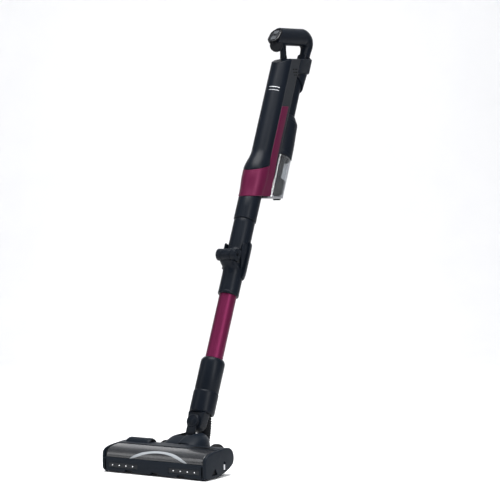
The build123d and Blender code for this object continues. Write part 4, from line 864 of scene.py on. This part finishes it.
# lower sleeve: a round sleeve, the flowing front under the barrel and the middle knuckle
sleeveRows = [(19.2, 335.0), (22.2, 335.0), (23.0, 335.9), (23.2, 338.0), (23.2, 341.0), (22.9, 341.6),
              (23.0, 342.4)]
sleeveRows += [(23.0, t) for t in np.linspace(350, 430, 9)]
sleeveRows += [(23.0, 434.6), (22.4, 435.6), (17.6, 435.6), (17.6, 380.0), (19.2, 379.0), (19.2, 335.0)]
knuckleLine = np.vstack([
    arcPoints(barrelCentre, fold["radius"], math.radians(50), math.radians(270), 44),
    [(-19.5, 402.0), (-19.5, 426.0)],
])
lowerStations = np.linspace(404.0, lowerCentre[1], 24)
piece("lowerSleeve",
      [turned(sleeveRows, (0, 0, 0), turns=112),
       flowShell(wandForm["sleeve"], fold["lowerBlend"], -1, lowerStations, 21.0, 0.12),
       slab(knuckleLine, -fold["middle"], fold["middle"], 0.5, 3)],
      "lower_wand", "satinBlack", stands=("lower_sleeve",))

# fold latch: a sliding half sleeve, its profile turned through half a circle behind the wand
latchProfile = np.array([(23.5, 380.0), (25.0, 378.4), (26.4, 379.4), (27.6, 384.0), (28.2, 392.0),
                         (28.4, 404.0), (28.4, 430.0),
                         (28.3, 452.0), (27.9, 458.4), (27.0, 460.6), (25.4, 461.2), (24.1, 461.0),
                         (24.1, 434.6), (23.5, 433.4)])
latchBody = np.swapaxes(turned(latchProfile, (0, 0, 0), (0, 0, 1), (1, 0, 0), 72, (3, 177)), 0, 1)
latchGrips = []
for along in np.arange(396.0, 412.1, 4.0):
    ridge = np.array([(28.0, along - 1.1), (28.9, along - 0.4), (28.9, along + 0.4), (28.0, along + 1.1)])
    latchGrips.append(np.swapaxes(turned(ridge, (0, 0, 0), (0, 0, 1), (1, 0, 0), 30, (62, 118)), 0, 1))
piece("foldLatch", [latchBody] + latchGrips, "fold_latch", "satinBlack", stands=("fold_latch",))

# tube with a drawn finish and a rolled foot and head
tubeRows = [(17.6, 100.0), (19.0, 100.4)] + [(19.0, t) for t in np.linspace(110, 366, 9)]
tubeRows += [(18.6, 371.6), (17.6, 372.0), (17.6, 100.0)]
piece("wandTube", [turned(tubeRows, (0, 0, 0), turns=96)], "lower_wand", "burgundyMetal",
      stands=("wand_tube",))

# lower collar: chamfered mouth, seam groove, and a slightly larger foot
collarRows = [(19.1, 96.0), (19.1, 189.0), (20.0, 189.3), (21.9, 189.0), (22.6, 188.4), (25.3, 184.2),
              (26.0, 182.4), (26.3, 178.0),
              (26.3, 117.2), (25.7, 116.3), (25.7, 115.4), (26.4, 114.6), (27.1, 113.6), (27.3, 111.0),
              (27.3, 72.0), (26.9, 69.0),
              (25.6, 67.4), (24.2, 67.0), (17.0, 67.0), (17.0, 96.0)]
piece("lowerCollar", [turned(collarRows, (0, 0, 0), turns=112)], "lower_wand", "satinBlack",
      stands=("lower_collar",))
print("wand built")


def facing(shell):
    # a slab turned to face forwards: its across and back columns change places
    return shell[..., [1, 0, 2]]


def keyhole(radius, half, low, count=64):
    # outline across and along: a disc whose lower part runs down as a leg
    start = math.asin(half / radius)
    angle = np.linspace(start - math.pi / 2, 1.5 * math.pi - start, count)
    disc = np.column_stack([radius * np.cos(angle), 45.0 + radius * np.sin(angle)])
    return np.vstack([disc, [(-half, low + 3), (-half + 3, low), (half - 3, low), (half, low + 3)]])


# swivel block under the collar, the neck's round front plate with its leg, and the trunnions
blockLine = np.vstack([arcPoints(np.array([0.0, 45.0]), 19.4, -math.pi * 0.94, -math.pi * 0.06, 40),
                       [(19.6, 52.0), (20.6, 67.4), (-20.6, 67.4), (-19.6, 52.0)]])
piece("swivelBlock", [facing(slab(blockLine, -20.4, 2.6, 3.0, 6))], "lower_wand", "satinBlack",
      stands=("swivel_block",))
legLine = softened([(-27.0, 22.0), (-21.0, 27.0), (-19.0, 20.0), (-2.0, 9.0), (8.0, 4.0), (7.0, -5.0),
                    (-4.0, -7.0), (-23.0, 2.0), (-27.0, 8.0)],
                   [3, 2, 6, 6, 4, 4, 5, 5, 5], 7)
discRings = [(0.2, 0.9), (9.6, 0.9), (10.2, 0.5), (10.9, 0.5), (11.4, 0.9), (13.2, 0.9), (13.9, 0.3),
             (13.9, -0.6)]
trunnionRows = [(0.2, -29.0), (7.0, -29.0), (8.0, -28.2), (8.0, 28.2), (7.0, 29.0), (0.2, 29.0)]
piece("neckYoke",
      [facing(slab(keyhole(15.0, 11.0, 6.0), -27.0, -21.0, 1.0, 4)), slab(legLine, -11.0, 11.0, 1.6, 4),
       turned(discRings, (0, -27.0, 45.0), (0, -1, 0), (1, 0, 0), 64),
       turned(trunnionRows, (0, 0, 0), (1, 0, 0), (0, 1, 0), 48)],
      "neck", "satinBlack", stands=("neck_yoke",))


def ribbedHose(first, last, radius, rib, pitch, bow, turns=56):
    # rings along a slightly bowed line; radius + rib sin(2 pi s / pitch), thinner wall behind each rib
    first, last = np.array(first, float), np.array(last, float)
    long = np.linalg.norm(last - first)
    count = int(long / pitch * 10)
    s = np.linspace(0, 1, count + 1)
    path = first + (last - first) * s[:, None] + np.array([bow, 0]) * np.sin(math.pi * s)[:, None]
    wave = radius + rib * np.sin(2 * math.pi * s * long / pitch)
    outer = swept(path, pathNormals(path), wave, wave, turns)
    inner = swept(path, pathNormals(path), wave - 1.2, wave - 1.2, turns)
    return np.concatenate([outer, inner[::-1], outer[:1]])


neckHose = piece("neckHose", [ribbedHose((14.2, 72.4), (29.6, 13.0), 12.2, 0.9, 4.8, 3.6)], None,
                 "softRubber",
                 stands=("neck_hose",), sharp=70, closed=False)
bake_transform(neckHose)
foldHose = piece("foldHose", [ribbedHose((0.0, 379.0), (0.0, 485.0), 13.6, 0.7, 5.3, 0.0)], None,
                 "hoseGreen",
                 stands=("flex_hose",), sharp=70, closed=False)
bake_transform(foldHose)
print("neck built")

# floor head: window and back shell are sheets with a wall, the caps close their ends
headForm = {"wall": 2.2, "shellWall": 2.4, "podWall": 1.6, "podEndWall": 1.2, "archWall": 0.1,
            "front": -70.0}
windowCurve = splined([(-66.6, 29.0), (-66.2, 38.0), (-61.9, 45.3), (-54.0, 50.0), (-45.0, 52.4),
                       (-34.0, 53.9), (-22.4, 55.0)], 60)
windowLengths = np.concatenate([[0], np.cumsum(np.linalg.norm(np.diff(windowCurve, axis=0), axis=1))])
windowNormals = pathNormals(windowCurve)


def onWindow(across, up, lift):
    # a point up the window's side curve, lifted along the curve's normal
    spot = [np.interp(up, windowLengths, windowCurve[:, k]) for k in (0, 1)]
    normal = [np.interp(up, windowLengths, windowNormals[:, k]) for k in (0, 1)]
    return np.stack([across, spot[0] + lift * normal[0], spot[1] + lift * normal[1]], -1)


def sheetPiece(name, grids, body, look, wall, stands=()):
    # open grids with a wall grown inwards by Solidify
    made = piece(name, grids, body, look, leaning=False, stands=stands, closed=False, wrap=False)
    grown = made.modifiers.new("wall", "SOLIDIFY")
    grown.thickness, grown.offset = wall * millimetre, -1
    return made


windowX = np.linspace(-122.4, 122.4, 90)
windowUp = np.linspace(2.2, windowLengths[-1], 60)
gridX, gridUp = np.meshgrid(windowX, windowUp, indexing="ij")
sheetPiece("window", [onWindow(gridX, gridUp, 0.0)[:, ::-1]], "head", "smokyWindow", headForm["wall"],
           ("window",))
# crescent on the window: both edges are parabolas up the curve, meeting in points at the ends
arch = {"middle": 11.0, "half": 72.5, "foot": 3.0, "peak": 22.5, "thick": 6.6}
archX = np.linspace(-1, 1, 80)
archUp = arch["foot"] + arch["peak"] * (1 - archX**2)
archThick = arch["thick"] * (1 - np.abs(archX) ** 8) + 0.2
archShare = np.linspace(0, 1, 9)
archGrid = onWindow(np.broadcast_to((arch["middle"] + arch["half"] * archX)[:, None], (80, 9)),
                    archUp[:, None] - archThick[:, None] * archShare,
                    0.12 + 0.3 * np.sin(math.pi * archShare))
sheetPiece("windowArch", [archGrid], "head", "archGrey", headForm["archWall"], ("window_arch",))

shellLine = np.vstack([[(-22.0, 55.4), (-19.0, 55.9)],
                       splined([(-16.0, 56.1), (4.0, 57.0), (15.0, 55.9), (24.0, 51.8), (30.5, 43.0),
                                (32.0, 34.0), (29.0, 23.5), (16.0, 13.6), (4.0, 8.2)], 44)])
shellX = np.concatenate([[-124.3], np.linspace(-120, 120, 40), [124.3]])
shellGrid = np.stack(np.broadcast_arrays(shellX[:, None], shellLine[None, :, 0], shellLine[None, :, 1]), -1)
sheetPiece("headShell", [shellGrid[:, ::-1]], "head", "headBlack", headForm["shellWall"], ("head_housing",))
# a dark slab at the right of the top, painted as the shade of a recess, and the strip that closes the
# window's back edge
recessShadeLine = softened([(-19.0, 55.4), (-6.5, 56.2), (-6.5, 56.9), (-19.0, 56.3)], 0.2, 4)
stripLine = softened([(-24.4, 53.0), (-20.4, 53.4), (-20.4, 56.3), (-24.4, 55.9)], 0.7, 5)
piece("paintedRecessShade", [slab(recessShadeLine, 58.0, 112.0, 0.3, 2)], "head", "darkTrim", leaning=False)
piece("windowStrip", [slab(stripLine, -122.4, 122.4, 0.6, 3)], "head", "headBlack", leaning=False)

# motor pod: a half round ridge whose ends are domed, dark at its right end
pod = {"back": 6.0, "along": 46.6, "radius": 18.0, "left": -120.5}
podRise = np.linspace(0, math.pi / 2, 9)
podRows = [(pod["radius"] - 9 * (1 - math.sin(a)), pod["left"] + 8 * (1 - math.cos(a))) for a in podRise]
podRows += [(pod["radius"], x) for x in np.linspace(-108, -60, 10)]
podRows += [(16.8, -57.2), (16.0, -56.2), (15.0, -56.0)]
podArc = (14, 166)
podGrid = turned(podRows, (0, pod["back"], pod["along"]), (1, 0, 0), (0, 1, 0), 40, podArc)
podCap = [(15.0, -56.1), (14.4, -55.4), (11.5, -55.0), (11.0, -56.0), (4.0, -56.0), (0.3, -56.0)]
sheetPiece("motorPod", [podGrid], "head", "headBlack", headForm["podWall"])
sheetPiece("podEnd", [turned(podCap, (0, pod["back"], pod["along"]), (1, 0, 0), (0, 1, 0), 40, podArc)],
           "head", "darkTrim", headForm["podEndWall"])


def rayed(outline, middle, count=120):
    # an outline sampled at even angles about a middle point
    line = np.vstack([outline, outline[:1]])
    fine = np.linspace(0, len(line) - 1, 2400)
    away = np.column_stack([np.interp(fine, np.arange(len(line)), line[:, k]) for k in (0, 1)]) - middle
    angle = np.arctan2(away[:, 1], away[:, 0])
    order = np.argsort(angle)
    radius = np.interp(np.linspace(-math.pi, math.pi, count, endpoint=False), angle[order],
                       np.linalg.norm(away, axis=1)[order], period=2 * math.pi)
    turn = np.linspace(-math.pi, math.pi, count, endpoint=False)
    return np.array(middle) + radius[:, None] * np.column_stack([np.cos(turn), np.sin(turn)])


capLine = splined([(-70.0, 18.0), (-70.0, 32.0), (-68.6, 41.6), (-63.0, 47.6), (-52.0, 51.6), (-38.0, 53.9),
                   (-23.0, 55.3), (-7.0, 56.6), (8.6, 57.2),
                   (19.0, 55.2), (26.0, 50.4), (30.6, 43.0), (31.8, 35.0), (30.6, 27.0), (25.5, 20.0),
                   (8.0, 11.2), (-13.0, 5.2), (-33.0, 2.2), (-53.0, 1.4), (-62.8, 2.8), (-69.0, 8.0)],
                  160, True)


def holedCap(side, hole, middle, lowBack, highBack):
    # half of an end cap: its outline cut at one line, a rim rounded outwards, and a pocket inside the hole
    line = capLine.copy()
    line[:, 0] = np.clip(line[:, 0], lowBack, highBack)
    outer = rayed(line, middle)
    border = (np.abs(outer[:, 0] - lowBack) < 0.05) | (np.abs(outer[:, 0] - highBack) < 0.05)
    pocket = rayed(hole, middle)
    rows = [(outer, 124.4)]
    for a in np.linspace(0, math.pi / 2, 6):
        ring = shrunk(outer, 2.2 * (1 - math.cos(a)))
        ring[border, 0] = outer[border, 0]
        rows.append((ring, 128.3 + 2.1 * math.sin(a)))
    rows += [(pocket, 130.4), (shrunk(pocket, 0.25), 130.2), (shrunk(pocket, 0.35), 127.6)]
    return np.stack([np.column_stack([np.full(len(ring), side * across), ring]) for ring, across in rows])


triangleMiddle, lockMiddle = (-37.0, 12.5), (-3.0, 22.0)
triangle = softened([(-48.5, 8.0), (-27.0, 8.0), (-35.6, 22.0)], 3.0, 8)
lockSlot = softened([(-6.6, 12.6), (0.6, 12.6), (0.6, 31.4), (-6.6, 31.4)], 1.6, 6)
farSlot = softened([(-6.6, 20), (0.6, 20), (0.6, 24), (-6.6, 24)], 1.5, 6)
cutLine = -15.0
piece("endCaps",
      [holedCap(1, triangle, triangleMiddle, -80.0, cutLine),
       holedCap(1, lockSlot, lockMiddle, cutLine, 60.0),
       holedCap(-1, triangle, triangleMiddle, -80.0, cutLine),
       holedCap(-1, farSlot, lockMiddle, cutLine, 60.0)],
      "head", "headBlack", leaning=False, stands=("end_caps",))
piece("capPocket", [slab(shrunk(rayed(triangle, triangleMiddle), 0.5), 127.5, 127.75, 0.05, 2)], "head",
      "darkTrim", leaning=False)
lockLine = softened([(-5.6, 14.6), (-0.4, 14.6), (-0.4, 25.4), (-5.6, 25.4)], 1.2, 6)
lockRidges = [slab(softened([(-4.8, z), (-1.2, z), (-1.2, z + 0.9), (-4.8, z + 0.9)], 0.3, 4), 130.3,
                   130.75, 0.2, 2) for z in (17.2, 19.5, 21.8)]
piece("capLock", [slab(lockLine, 128.0, 130.4, 0.7, 4)] + lockRidges, "cap_lock", "paleTrim", leaning=False,
      stands=("cap_lock",))

# bumper bar: gaps in the foot where it is raised, and a shallow panel each side for the lamps
bar = {"gaps": (-62.0, 4.0, 70.0), "gapHalf": 8.5, "gapHigh": 5.0, "panelFrom": 38.7, "panelTo": 115.0,
       "panelDeep": 1.2}


def bumperShell():
    # one closed section for each station across: the foot rises by a smooth step in the gaps,
    # and the front steps in at a panel
    edges = [s * e + d for s in (1, -1) for e in (bar["panelFrom"], bar["panelTo"]) for d in (-0.15, 0.15)]
    around = np.linspace(-bar["gapHalf"] - 2.5, bar["gapHalf"] + 2.5, 24)
    stations = [np.linspace(-124.3, 124.3, 110), edges] + [g + around for g in bar["gaps"]]
    stations = np.unique(np.concatenate(stations))
    sections = []
    for x in stations:
        raised = sum(smooth((bar["gapHalf"] + 2 - abs(x - g)) / 2.5) for g in bar["gaps"])
        low = 3.0 + bar["gapHigh"] * raised
        inset = bar["panelDeep"] * (bar["panelFrom"] < abs(x) < bar["panelTo"])
        front = headForm["front"]
        section = softened([(front, low), (-62.2, low), (-62.2, 31.0), (front, 31.0), (front, 21.4),
                            (front + inset, 21.0), (front + inset, 10.6), (front, 10.2)],
                           [2.4, 0.8, 0.6, 2.2, 0.1, 0.1, 0.1, 0.1], 5)
        sections.append(np.column_stack([np.full(len(section), x), section]))
    return np.stack(sections)


piece("bumperBar", [bumperShell()], "head", "headBlack", leaning=False, stands=("bumper",), sharp=30)
cornerLine = softened([(-70.0, 3.0), (-61.0, 3.0), (-61.0, 31.6), (-70.0, 31.6)], [3.0, 1, 1, 3.0], 6)
cornerFoot = softened([(-69.0, 0.7), (-64.0, 0.7), (-63.4, 3.4), (-69.4, 3.4)], 0.8, 5)
piece("cornerBlocks", slabPair(cornerLine, 118.4, 124.6, 1.6) + slabPair(cornerFoot, 119.5, 123.5, 0.8, 3),
      "head", "headBlack", leaning=False)
panelLine = softened([(38.9, 10.8), (114.8, 10.8), (114.8, 20.8), (38.9, 20.8)], 1.0, 5)
panels = [facing(slab(panelLine * [side, 1], -69.2, -68.7, 0.2, 2)) for side in (1, -1)]
piece("lampPanels", panels, "head", "charcoal", leaning=False, stands=("led_panels",))
lampRows = [(1.15, -0.2), (1.1, 0.2), (0.9, 0.4), (0.5, 0.55), (0.05, 0.6)]
lampForm = {"first": 51.3, "step": 17.3, "count": 4, "front": -69.2, "high": 16.0}
lampSpots = [(side * (lampForm["first"] + k * lampForm["step"]), lampForm["front"], lampForm["high"])
             for side in (1, -1) for k in range(lampForm["count"])]
piece("lamps", [turned(lampRows, spot, (0, -1, 0), (1, 0, 0), 20) for spot in lampSpots], "head",
      "lampGlow",
      leaning=False, stands=("led_lamps",))
rimRows = [(1.2, -0.1), (2.0, 0.0), (1.9, 0.4), (1.35, 0.5), (1.2, 0.2)]
piece("lampRims", [turned(rimRows, spot, (0, -1, 0), (1, 0, 0), 24) for spot in lampSpots], "head",
      "darkTrim",
      leaning=False, closed=False)
print("head shell built")

# hood: a dome over the neck joint, open at the slot that the neck swings through
hoodForm = {"low": 10.0, "slotHalf": 17.3, "slotFront": 42.0, "power": 4.0}
hoodSide = splined([(14.0, 56.6), (22.0, 61.0), (32.0, 65.6), (42.0, 69.4), (52.0, 71.0), (66.0, 71.4),
                    (80.0, 70.0), (91.0, 65.0), (99.0, 57.5), (104.0, 48.0), (106.4, 38.0)], 60)
hoodPlan = splined([(14.0, 49.0), (40.0, 49.0), (56.0, 47.6), (68.0, 43.4), (78.0, 37.6), (88.0, 30.6),
                    (96.0, 24.8), (102.0, 20.4), (106.6, 17.4)], 60)
hoodBreak = int(np.argmin(np.abs(hoodSide[:, 0] - hoodForm["slotFront"])))


def hoodSheet(last, roof, count, side):
    # for each station back: x = X cos^(2/p) a, z = low + (H - low) sin^(2/p) a, from the skirt up to the
    # slot's line, or for the roof from that line to the middle
    back, high = hoodSide[:last, 0], hoodSide[:last, 1]
    wide = np.interp(back, hoodPlan[:, 0], hoodPlan[:, 1])
    power = hoodForm["power"]
    slotTurn = np.arccos(np.clip(hoodForm["slotHalf"] / wide, 0, 1) ** (power / 2))
    begin = slotTurn * roof
    end = np.full(last, math.pi / 2) if roof else slotTurn
    angle = begin[:, None] + (end - begin)[:, None] * np.linspace(0, 1, count)[None, :]
    x = side * wide[:, None] * np.cos(angle) ** (2 / power)
    z = hoodForm["low"] + (high - hoodForm["low"])[:, None] * np.sin(angle) ** (2 / power)
    return np.stack([x, np.broadcast_to(back[:, None], x.shape), z], -1)


hoodGrids = [hoodSheet(len(hoodSide), False, 34, side) for side in (1, -1)]
hoodGrids += [hoodSheet(hoodBreak + 1, True, 10, side) for side in (1, -1)]
sheetPiece("hood", hoodGrids, "head", "headBlack", headForm["shellWall"], ("hood",))
# soft lip round the slot's front
lipTurn = np.linspace(0, 2 * math.pi, 12, endpoint=False)
lipSide = hoodSide[hoodBreak:hoodBreak + 26]
lipHalf, lipRadius, lipSink = hoodForm["slotHalf"], 1.5, 0.9
lipFront = np.linspace(-lipHalf, lipHalf, 24)
lipPath = np.vstack([
    np.column_stack([np.full(len(lipSide), -lipHalf), lipSide])[::-1],
    np.column_stack([lipFront, np.tile(lipSide[0], (len(lipFront), 1))])[1:-1],
    np.column_stack([np.full(len(lipSide), lipHalf), lipSide]),
])
lipPath[:, 2] -= lipSink
lipAhead = np.gradient(lipPath, axis=0)
lipAhead /= np.linalg.norm(lipAhead, axis=1)[:, None]
lipAside = np.cross(lipAhead, [0, 0, 1])
lipAside /= np.linalg.norm(lipAside, axis=1)[:, None]
lipUp = np.cross(lipAside, lipAhead)
lipCos, lipSin = np.cos(lipTurn)[None, :, None], np.sin(lipTurn)[None, :, None]
lipGrid = lipPath[:, None] + lipRadius * (lipCos * lipAside[:, None] + lipSin * lipUp[:, None])
piece("slotLip", [lipGrid], "head", "softRubber", leaning=False)

# wheels: domed hub with a recess, grooved tread
wheelForm = {"x": 64.0, "back": 64.0, "high": 27.0, "radius": 26.9}
treadAcross = np.linspace(-5.6, 5.6, 41)
treadRows = [(3.3, -6.0), (8.0, -6.0), (9.0, -6.8), (11.0, -6.8), (12.5, -5.0), (19.5, -5.0), (21.0, -6.9),
             (23.8, -7.0), (25.4, -6.5)]
treadRows += [(wheelForm["radius"] - 0.9 * (np.cos(a * 1.68) < -0.55) - 0.9 * (abs(a) / 5.6) ** 4, a)
              for a in treadAcross]
treadRows += [(r, -a) for r, a in treadRows[:9][::-1]]
for side, name in ((-1, "left"), (1, "right")):
    hub = (side * wheelForm["x"], wheelForm["back"], wheelForm["high"])
    wheelGrid = turned(treadRows + treadRows[:1], hub, (1, 0, 0), (0, 1, 0), 96)
    piece(name + "Wheel", [wheelGrid], "wheel_" + name, "wheelRubber", leaning=False,
          stands=("wheel_" + name,), closed=False)

# brush: a core with a shallow spiral rib, and tufted strips that wind round it
brush = {"back": -34.0, "high": 27.8, "core": 15.6, "tip": 22.2, "left": -105.5, "right": 117.5,
         "strips": 6, "twist": 0.022}
brushX = np.linspace(brush["left"], brush["right"], 190)
coreTurn = np.linspace(0, 2 * math.pi, 60, endpoint=False)
coreRadius = brush["core"] + 0.35 * np.cos(coreTurn[None, :] * 6 - brushX[:, None] * brush["twist"] * 6)
coreGrid = np.stack([np.broadcast_to(brushX[:, None], coreRadius.shape),
                     brush["back"] + coreRadius * np.cos(coreTurn),
                     brush["high"] + coreRadius * np.sin(coreTurn)], -1)
stubRows = [(0.2, -126.6), (3.2, -126.6), (3.5, -126.2), (3.5, -118.0), (10.4, -117.2), (11.0, -116.6),
            (10.2, -113.0), (11.0, -109.4), (10.4, -108.8), (3.5, -108.0), (3.5, 126.2), (3.2, 126.6),
            (0.2, 126.6)]
brushMiddle = (0, brush["back"], brush["high"])
piece("brushCore", [coreGrid, turned(stubRows, brushMiddle, (1, 0, 0), (0, 1, 0), 40)], "brush", "charcoal",
      leaning=False, stands=("brush_core",))
tuftShells = []
tuftJitter = rng.random((brush["strips"], len(brushX)))
for strip in range(brush["strips"]):
    # a wedge from the core out to a ragged tip; its angle grows with x, so that the strip winds
    base = strip * 2 * math.pi / brush["strips"] + brushX * brush["twist"]
    tip = brush["tip"] - 1.1 * tuftJitter[strip] - 0.8 * (np.arange(len(brushX)) % 2)
    section = []
    for radius, spread in ((15.2, -0.13), (19.0, -0.1), (None, -0.05), (None, 0.05), (19.0, 0.1),
                           (15.2, 0.13)):
        reach = tip if radius is None else np.full(len(brushX), radius)
        section.append(np.stack([brushX, brush["back"] + reach * np.cos(base + spread),
                                 brush["high"] + reach * np.sin(base + spread)], -1))
    tuftShells.append(np.stack(section, axis=1))
piece("brushTufts", tuftShells, "brush", "bristle", leaning=False, stands=("brush_bristles",), sharp=25)
print("head built")

# every CAD piece that still shows takes the finish of its slot
ownFinish = {"bin_door": "cupGrey"}
for row in frame["record"]["subparts"]:
    name = ownFinish.get(row["node"], slotFinish[row["material_slot"]])
    node = frame["nodes"][row["node"]]
    node.data.materials.clear()
    node.data.materials.append(finish[name])
print("finishes on", len(frame["nodes"]), "carried nodes")

# floor, light and camera
studio = {"floor": 6.0, "wall": 2.4, "bend": 1.5, "top": 6.0, "turn": 34, "key": 62.0, "rim": 16.0,
          "fill": 170.0, "sky": 0.36}


def backdrop():
    # floor that curves up behind: flat to the bend, then a quarter round, then a wall
    wall, bend = studio["wall"], studio["bend"]
    quarter = np.linspace(0, math.pi / 2, 14)
    run = np.concatenate([np.linspace(-studio["floor"], wall, 12), wall + bend * np.sin(quarter),
                          [wall + bend]])
    rise = np.concatenate([np.zeros(12), bend - bend * np.cos(quarter), [studio["top"]]])
    across = np.linspace(-7, 7, 8)
    grid = np.stack(np.broadcast_arrays(across[None, :], run[:, None], rise[:, None]), -1)
    turn = math.radians(studio["turn"])
    x = grid[..., 0] * math.cos(turn) - grid[..., 1] * math.sin(turn)
    y = grid[..., 0] * math.sin(turn) + grid[..., 1] * math.cos(turn)
    grid = np.stack([x, y, grid[..., 2] - 0.0001], -1)
    rows, columns = grid.shape[:2]
    index = np.arange(rows * columns).reshape(rows, columns)
    faces = np.stack([index[:-1, :-1], index[:-1, 1:], index[1:, 1:], index[1:, :-1]], -1).reshape(-1, 4)
    mesh = bpy.data.meshes.new("backdrop")
    mesh.from_pydata(grid.reshape(-1, 3).tolist(), [], faces.tolist())
    mesh.polygons.foreach_set("use_smooth", np.ones(len(mesh.polygons), bool))
    shader = Shader("paleFloor")
    speck = shader.noise(6, 3.0)
    pale = shader.mix(speck, (0.83, 0.83, 0.835), (0.87, 0.87, 0.87))
    mesh.materials.append(shader.done({"Base Color": pale, "Roughness": 0.62 + speck * 0.1}))
    thing = bpy.data.objects.new("backdrop", mesh)
    bpy.context.scene.collection.objects.link(thing)


backdrop()
world = bpy.data.worlds.new("studio")
bpy.context.scene.world = world
world.use_nodes = True
world.node_tree.nodes["Background"].inputs["Color"].default_value = (0.92, 0.94, 1.0, 1)
world.node_tree.nodes["Background"].inputs["Strength"].default_value = studio["sky"]
bpy.context.scene.view_settings.view_transform = "Standard"


def softBox(name, spot, aim, wide, high, watts):
    data = bpy.data.lights.new(name, "AREA")
    data.shape, data.size, data.size_y, data.energy = "RECTANGLE", wide, high, watts
    thing = bpy.data.objects.new(name, data)
    bpy.context.scene.collection.objects.link(thing)
    spot, aim = np.array(spot, float), np.array(aim, float)
    back = (spot - aim) / np.linalg.norm(spot - aim)
    right = np.cross([0, 0, 1], back)
    right /= np.linalg.norm(right)
    up = np.cross(back, right)
    rows = np.eye(4)
    rows[:3, 0], rows[:3, 1], rows[:3, 2], rows[:3, 3] = right, up, back, spot
    thing.matrix_world = Matrix(rows.tolist())


middle = (0.0, 0.25, 0.45)
softBox("keyBox", (2.6, -1.0, 1.5), middle, 0.7, 2.2, studio["key"])
softBox("rimBox", (-1.6, -1.9, 1.3), middle, 0.6, 2.2, studio["rim"])
softBox("topBox", (0.2, -0.2, 3.0), middle, 2.0, 2.0, studio["fill"])

shot = {"swing": 36.38, "distance": 2983.6, "height": 478.2, "pan": -3.13, "tilt": 0.45, "roll": -0.6,
        "focal": 1449.1}
imageWide, sensorWide = 500, 36.0


def setCamera():
    # stands at the swing and distance, looks along the swung heading plus pan, tilted down and rolled
    swing, heading = math.radians(shot["swing"]), math.radians(shot["swing"] + shot["pan"])
    tilt, roll = math.radians(shot["tilt"]), math.radians(shot["roll"])
    spot = np.array([shot["distance"] * math.sin(swing), -shot["distance"] * math.cos(swing),
                     shot["height"]])
    ahead = np.array([-math.sin(heading) * math.cos(tilt), math.cos(heading) * math.cos(tilt),
                      -math.sin(tilt)])
    level = np.cross(ahead, [0, 0, 1])
    level /= np.linalg.norm(level)
    right = math.cos(roll) * level + math.sin(roll) * np.cross(level, ahead)
    rows = np.eye(4)
    rows[:3, 0], rows[:3, 1] = right, np.cross(right, ahead)
    rows[:3, 2], rows[:3, 3] = -ahead, spot * millimetre
    data = bpy.data.cameras.new("camera")
    data.sensor_width = sensorWide
    data.lens = shot["focal"] / imageWide * sensorWide
    data.clip_end = 60
    thing = bpy.data.objects.new("camera", data)
    bpy.context.scene.collection.objects.link(thing)
    thing.matrix_world = Matrix(rows.tolist())
    bpy.context.scene.camera = thing


setCamera()
